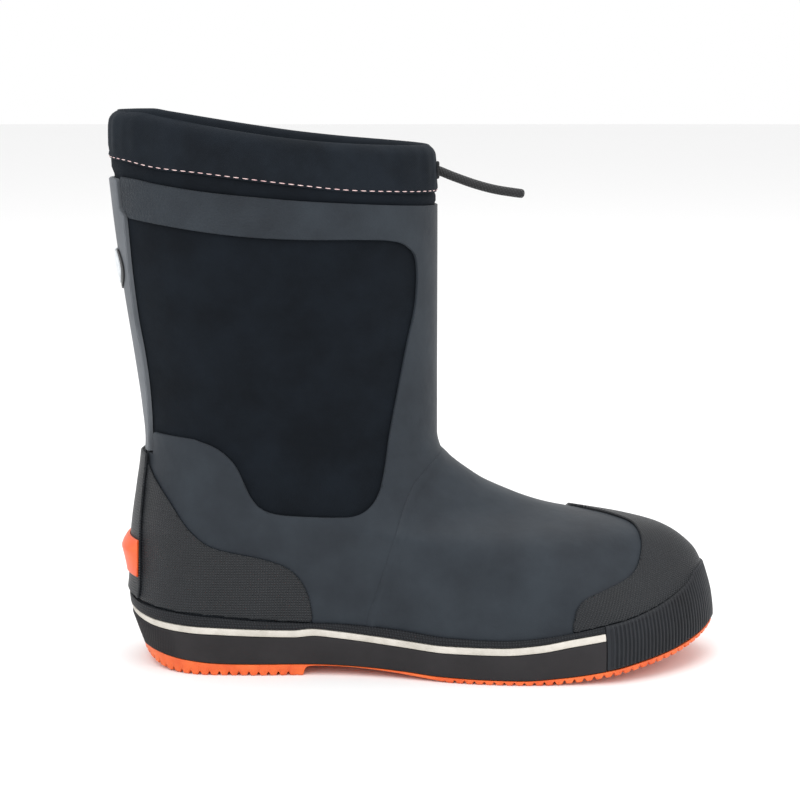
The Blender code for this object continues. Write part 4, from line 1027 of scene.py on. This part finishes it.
def make_stripe_and_tape():
    """White stripe, and the dotted tape above it."""
    end = float(turn_at(BUMPER_BACK - GAP, 0.0))
    turns = np.linspace(-end, end, 421)
    out = GAP + FOXING
    x = sole_x(turns, out)
    stripe = swept("white_stripe", turns,
                   lambda t: strip_section(t, stripe_foot(x), stripe_foot(x) + STRIPE_HEIGHT, GAP,
                                           out + 0.1, 4, 0.45),
                   white_rubber)
    dress(stripe, "white_rubber", "stripe")
    upper = swept("upper_foxing_tape", turns,
                  lambda t: strip_section(t, stripe_foot(x) + STRIPE_HEIGHT + GAP, foxing_top(x), GAP,
                                          out, 6, 0.5),
                  tape)
    dress(upper, "dark_rubber", "upper_foxing")


def make_bumper():
    """Ribbed bumper round the toe."""
    start = float(turn_at(BUMPER_BACK + GAP, 0.0))
    turns = np.linspace(start, math.tau - start, 1001)
    foot = foxing_foot(sole_x(turns, BUMPER))
    top = np.full_like(turns, 35.0)
    for _ in range(8):
        top = bumper_top(skin(turns, top, BUMPER)[:, 0])
    heights, offsets = strip_section(turns, foot, top, GAP, BUMPER - 0.3, 16, 0.9)
    bumper = swept("toe_bumper_rubber", turns, lambda t: (heights, offsets), bumper_rubber)
    around = np.concatenate([[0.0], np.cumsum(np.linalg.norm(np.diff(skin(turns, 24.0), axis=0), axis=1))])
    tip = 0.25 + 0.75 * smooth((np.abs(turns - math.pi) - 0.12) / 0.4)
    ends = smooth((turns - start) / 0.03) * smooth((math.tau - start - turns) / 0.03)
    mask = (offsets > BUMPER - 0.5) * (tip * ends)[None, :]
    add_push(bumper, turns, heights, offsets, np.broadcast_to(around, heights.shape), mask)
    bumper = grown(bumper, RIBS, bumper_rubber, Pitch=2.2, Height=0.9, Width=0.35, Slope=0.35)
    dress(bumper, "dark_rubber", "toe_bumper")


def sole_under(x):
    """Height of the sole's underside, which rises over the arch behind the ball."""
    return np.maximum(tread_edge(x), np.where((x > -61.0) & (x < 14.0), arch_line(x), 0.0))


def make_outsole():
    """Orange outsole: notched all round its edge, with a field of zigzag grooves."""
    steps = 1500
    turns = np.arange(steps) * math.tau / steps
    edge = skin(turns, np.full_like(turns, VERTICAL_BELOW), WELT)
    x = edge[:, 0]
    under, top = sole_under(x), foxing_foot(x) - GAP

    def ring(offset, height):
        return on_wall(turns, height, offset)

    thick = np.maximum(top - under, 0.4)
    rings = [ring(WELT - 7.0, under), ring(WELT - 5.6, under), ring(WELT - 2.5, under),
             ring(WELT - 0.8, under), ring(WELT - 0.1, under + np.minimum(0.5, 0.2 * thick)),
             ring(WELT, under + np.minimum(1.0, 0.35 * thick)),
             ring(WELT, under + 0.75 * thick), ring(WELT, top), ring(-(RUBBER + GAP), top),
             ring(-(RUBBER + GAP), board_foot(x) - GAP)]

    def grooves(points):
        px, py = points[..., 0], points[..., 1]
        zigzag = np.abs((py / 16.0) % 1.0 - 0.5) * 9.0
        share = np.abs(((px + zigzag) / 6.0) % 1.0 - 0.5) * 2.0
        depth = 1.5 * smooth((0.42 - share) / 0.3)
        flat = smooth((0.5 - np.abs(np.linspace(-0.5, 0.5, points.shape[0]))) / 0.06)[:, None]
        points[..., 2] = sole_under(px) + depth * flat * smooth((np.minimum(148 - px, px + 147)) / 8.0)
        return points

    sole = loft("orange_outsole", rings, sole_orange, across=46, floor=grooves)
    around = np.concatenate([[0.0], np.cumsum(np.linalg.norm(np.diff(edge, axis=0), axis=1))])
    total = around[-1] + np.linalg.norm(edge[0] - edge[-1])
    pitch = total / round(total / 5.0)
    count = len(sole.data.vertices)
    all_around, push = np.zeros(count), np.zeros((count, 3))
    cut = smooth((-62.0 - x) / 3.0) + smooth((x - 8.0) / 10.0)
    for r, share in ((1, 0.0), (2, 0.8), (3, 1.0), (4, 1.0), (5, 0.75)):
        rows = slice(r * steps, (r + 1) * steps)
        all_around[rows] = around
        push[rows, 2] = share * cut * np.minimum(1.0, thick / 3.2)
    store(sole, all_around, push)
    sole = grown(sole, RIBS, sole_orange, Pitch=pitch, Height=1.9, Width=0.02, Slope=0.5)
    dress(sole, "orange_rubber", "outsole")


def make_spur():
    """Ledge on the heel for pushing the boot off, its lower face pulled in."""
    reach = float(turn_at(back_line(SPUR_TIP) + heel_strip_wrap(SPUR_TIP), SPUR_TIP))
    turns = np.linspace(-reach, reach, 61)
    q = turns / reach
    inner = STRIP_OUT + GAP
    brim = inner + 0.9
    tip = brim + SPUR_REACH * (1.0 - q ** 4)
    rows = [(SPUR_FOOT, inner * np.ones_like(q)), (SPUR_FOOT, inner + 0.5 + 0 * q),
            (SPUR_FOOT + 0.4, brim + 0 * q)]
    for share in np.linspace(0.12, 0.95, 9):
        rows.append((SPUR_FOOT + (SPUR_TIP - SPUR_FOOT) * share, brim + (tip - brim) * share ** 1.25))
    rows += [(SPUR_TIP + 0.1, tip), (SPUR_TIP + 0.9, tip + 0.1), (SPUR_TIP + 1.6, tip - 0.15)]
    for share in np.linspace(0.25, 0.9, 6):
        rows.append((SPUR_TIP + 1.8 + (SPUR_TOP - SPUR_TIP - 1.8) * share,
                     brim + (tip - brim) * (1 - share) ** 0.8))
    rows += [(SPUR_TOP - 0.2, inner + 0.6 + 0 * q), (SPUR_TOP, inner + 0 * q)]
    heights = np.array([h * np.ones_like(q) for h, _ in rows])
    offsets = np.array([o for _, o in rows])
    spur = swept("kick_spur_rubber", turns, lambda t: (heights, offsets), spur_orange)
    dress(spur, "orange_rubber", "kick_spur")


def make_badge():
    """Round badge on the backstay: a black rim and a plain domed face with one ring in it."""
    base = BACKSTAY_OUT + GAP
    turns, heights = np.linspace(-0.36, 0.36, 131), np.linspace(186.5, 213.5, 121)

    def radius(place):
        return np.hypot(place[..., 1], place[..., 2] - BADGE_CENTRE)

    def rim_trim(place, turn, height):
        r = radius(place)
        return np.minimum(BADGE_RADIUS - r, r - BADGE_RADIUS + BADGE_RIM)

    face_radius = BADGE_RADIUS - BADGE_RIM - GAP

    def dome(turn, height, far):
        r = radius(skin(turn, height))
        ring = 0.18 * np.exp(-((r - 6.2) / 0.5) ** 2)
        return base + 0.6 + 1.4 * np.sqrt(np.maximum(1.0 - (r / (face_radius + 0.4)) ** 2, 0.0)) - ring

    rim = panel("badge_rim_ring", turns, heights, rim_trim, base + 0.6, base, badge_black, chamfer=0.4)
    dress(rim, "badge_black", "badge_rim")
    face = panel("badge_dome", turns, heights, lambda p, t, h: face_radius - radius(p), dome, base,
                 badge_pale, chamfer=0.3)
    dress(face, "badge_pale", "badge_face")


def make_collar():
    """Folded collar: a soft tube of binding with the cord in its top, sewn down at its foot."""
    turns = np.arange(480) * math.tau / 480
    x = rim_x(turns)
    foot, top = hem_foot(x), rim_line(x)
    shoulder = top - 5.0
    near = 1.0 - np.exp(-((turns - math.pi) / 0.16) ** 2)
    ripple = 0.16 * np.sin(23 * turns) + 0.12 * np.sin(41 * turns + 0.8)
    outer = [(0.0, 0.0, -0.9, 0.0), (0.0, 0.35, -0.35, 0.0), (0.0, 1.1, -0.2, 0.0), (0.0, 2.0, 0.2, 0.2),
             (0.0, 3.6, 0.45, 0.6), (0.3, 1.0, 0.55, 1.0), (0.6, 0.0, 0.5, 1.0), (0.85, 0.0, 0.45, 1.0),
             (1.0, 0.0, 0.3, 0.9), (1.0, 1.4, -0.05, 0.7), (1.0, 2.8, -0.8, 0.5), (1.0, 4.0, -2.0, 0.3),
             (1.0, 4.75, -3.1, 0.1), (1.0, 5.0, -4.1, 0.0), (1.0, 4.75, -5.1, 0.0), (1.0, 4.0, -6.3, 0.0),
             (1.0, 2.6, -7.3, 0.0), (1.0, 0.0, -8.0, 0.0), (0.5, 0.0, -8.1, 0.0), (0.0, 0.5, -8.0, 0.0),
             (0.0, 0.0, -7.4, 0.0), (0.0, 0.3, -6.6, 0.0), (0.5, 0.0, -6.6, 0.0), (1.0, 0.0, -6.5, 0.0),
             (1.0, 2.2, -5.6, 0.0), (1.0, 3.2, -4.0, 0.0), (1.0, 2.2, -2.4, 0.0), (1.0, 0.0, -1.5, 0.0),
             (0.5, 0.0, -1.5, 0.0), (0.0, 0.6, -1.5, 0.0)]
    heights = np.array([foot + (shoulder - foot) * share + lift for share, lift, _, _ in outer])
    offsets = np.array([off + full * (0.55 * near + ripple) for _, _, off, full in outer])
    offsets[5:12] -= 0.5 * (1.0 - near)
    offsets[4:13] -= 0.4 + 0.6 * smooth((-90.0 - x) / 40.0)
    collar = swept("collar_binding", turns, lambda t: (heights, offsets), collar_knit, closed=True)
    dress(collar, "collar_fabric", "collar_hem")
    line = skin(turns, foot + 1.1, -0.12)
    stitches = stitch_line("collar_stitches", line, thread, cyclic=True, Spacing=4.5, Length=3.0,
                           Thickness=0.5)
    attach(stitches, "boot")


def make_eyelet():
    """Buttonhole: close stitches set radially round the cord."""
    angles = np.arange(48) * math.tau / 48
    ring = EXIT_DRAWN + np.stack([np.full(48, 0.25), 3.5 * np.cos(angles), 3.5 * np.sin(angles)], -1)
    stitches = stitch_line("buttonhole_stitches", ring, dark_thread, cyclic=True, Spacing=0.75, Length=1.0,
                           Thickness=2.0)
    dress(stitches, "badge_black", "cord_eyelet")


def make_cord():
    """Cord end out of the collar's buttonhole, its braid sealed at the tip."""
    walk = spline([(-2.5, 0.0)] + CORD_ROUTE, 14)
    gone = np.concatenate([[0.0], np.cumsum(np.linalg.norm(np.diff(walk, axis=0), axis=1))])
    along = np.concatenate([np.linspace(0.0, gone[-1] - 0.8, 100),
                            gone[-1] + np.array([0.0, 0.7, 1.2, 1.5, 1.6])])
    a = np.interp(along, gone, walk[:, 0])
    b = np.interp(along, gone, walk[:, 1])
    way = (walk[-1] - walk[-3]) / np.linalg.norm(walk[-1] - walk[-3])
    past = np.maximum(along - gone[-1], 0.0)
    centre = EXIT_DRAWN + np.stack([a + way[0] * past, np.zeros_like(a), b + way[1] * past], -1)
    radius = np.full(len(along), CORD_RADIUS)
    radius[-5:] = CORD_RADIUS * np.array([0.98, 0.9, 0.7, 0.42, 0.12])
    ahead = np.gradient(centre, axis=0)
    ahead /= np.linalg.norm(ahead, axis=1, keepdims=True)
    side = np.array([0.0, 1.0, 0.0])
    up = np.cross(ahead, side)
    segments = 28
    angle = np.arange(segments) * math.tau / segments
    rings = centre[:, None] + radius[:, None, None] * (np.cos(angle)[None, :, None] * side
                                                       + np.sin(angle)[None, :, None] * up[:, None])
    index = np.arange(len(along) * segments).reshape(len(along), segments)
    after = np.roll(index, -1, axis=1)
    faces = np.stack([index[:-1].ravel(), after[:-1].ravel(), after[1:].ravel(), index[1:].ravel()],
                     1).tolist()
    faces += [index[0].tolist(), index[-1, ::-1].tolist()]
    uv = np.stack([np.broadcast_to(along[:, None], index.shape),
                   np.broadcast_to(angle[None] * CORD_RADIUS, index.shape)], -1).reshape(-1, 2)
    cord = make_piece("drawcord_end", rings.reshape(-1, 3), faces, cord_braid, uv)
    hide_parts("drawcord_tail")
    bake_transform(cord)


def make_footbed():
    """Loose footbed: felt over foam, dished at the heel."""
    inside = -(RUBBER + SOCK_GAP + STIFFENER + GAP + 0.6 + NEOPRENE + 0.8)
    turns = np.arange(300) * math.tau / 300
    x = sole_x(turns)
    base = sock_floor(x) + NEOPRENE + GAP

    def dished(points):
        px = points[..., 0]
        strips = points.shape[0]
        across = np.abs(np.linspace(-1.0, 1.0, strips))[:, None]
        cup = 0.9 * smooth((-60.0 - px) / 40.0) * (1.0 - across ** 2)
        points[..., 2] = sock_floor(px) + NEOPRENE + GAP + FOOTBED - 0.6 - cup
        return points

    rings = [on_wall(turns, base + FOOTBED - 0.5, inside - 5.0),
             on_wall(turns, base + FOOTBED, inside - 2.9),
             on_wall(turns, base + FOOTBED - 0.3, inside - 2.0),
             on_wall(turns, base + FOOTBED - 1.2, inside - 1.1),
             on_wall(turns, base + 0.6, inside - 0.2), on_wall(turns, base, inside - 0.6)]
    footbed = loft("felt_footbed", rings, footbed_cloth, across=24, floor=dished)
    dress(footbed, "grey_foam", "footbed", on="footbed")


def cover_hidden_parts():
    """Give the solids that stay, all inside the boot or its collar, their own stuff."""
    for node, stuff in (("heel_filler", foam_grey), ("insole_board", board_fibre), ("toe_puff", stiff_cloth),
                        ("heel_stiffener", stiff_cloth), ("drawcord_loop", cord_braid)):
        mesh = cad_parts[node].data
        mesh.materials.clear()
        mesh.materials.append(stuff)


def make_stage():
    """Pale floor, soft lights and a camera at the height of a seated eye."""
    bpy.ops.mesh.primitive_plane_add(size=12.0)
    floor = bpy.context.object
    floor.name = "floor"
    paper = new_material("white_paper", {"Roughness": 0.9, "Specular IOR Level": 0.1,
                                                       "Base Color": linear("#f4f4f4")})[0]
    floor.data.materials.append(paper)
    world = bpy.data.worlds.new("studio")
    bpy.context.scene.world = world
    # This view shows the materials' sRGB values without a film-like curve over them.
    bpy.context.scene.view_settings.view_transform = "Standard"
    world.use_nodes = True
    world.node_tree.nodes["Background"].inputs["Color"].default_value = (1.0, 1.0, 1.0, 1.0)
    world.node_tree.nodes["Background"].inputs["Strength"].default_value = 1.0
    for name, place, size, power in (("key", (-0.7, -1.3, 1.5), 1.2, 14.0),
                                     ("fill", (1.3, -1.0, 0.9), 1.4, 6.0),
                                     ("top", (0.1, 0.2, 2.0), 1.8, 16.0)):
        lamp = bpy.data.lights.new(name, "AREA")
        lamp.energy = power
        lamp.size = size
        made = bpy.data.objects.new(name, lamp)
        made.location = place
        aim = Vector((0.0, 0.0, 0.12)) - Vector(place)
        made.rotation_euler = aim.to_track_quat("-Z", "Y").to_euler()
        bpy.context.scene.collection.objects.link(made)
    lens = bpy.data.cameras.new("camera")
    lens.lens, lens.sensor_width = 89.3, 36.0
    camera = bpy.data.objects.new("camera", lens)
    camera.location = Vector((np.array([-10.9, -1000.0, 321.0]) + SHIFT) * MM)
    target = Vector((np.array([-10.9, 0.0, 135.0]) + SHIFT) * MM)
    camera.rotation_euler = (target - camera.location).to_track_quat("-Z", "Y").to_euler()
    bpy.context.scene.collection.objects.link(camera)
    bpy.context.scene.camera = camera


make_stage()
make_cord()
make_sock()
make_vamp()
make_quarters()
make_backstay()
make_counter()
make_heel_strip()
make_toe_cap()
make_lower_foxing()
make_stripe_and_tape()
make_bumper()
make_outsole()
make_spur()
make_badge()
make_collar()
make_eyelet()
make_footbed()
cover_hidden_parts()
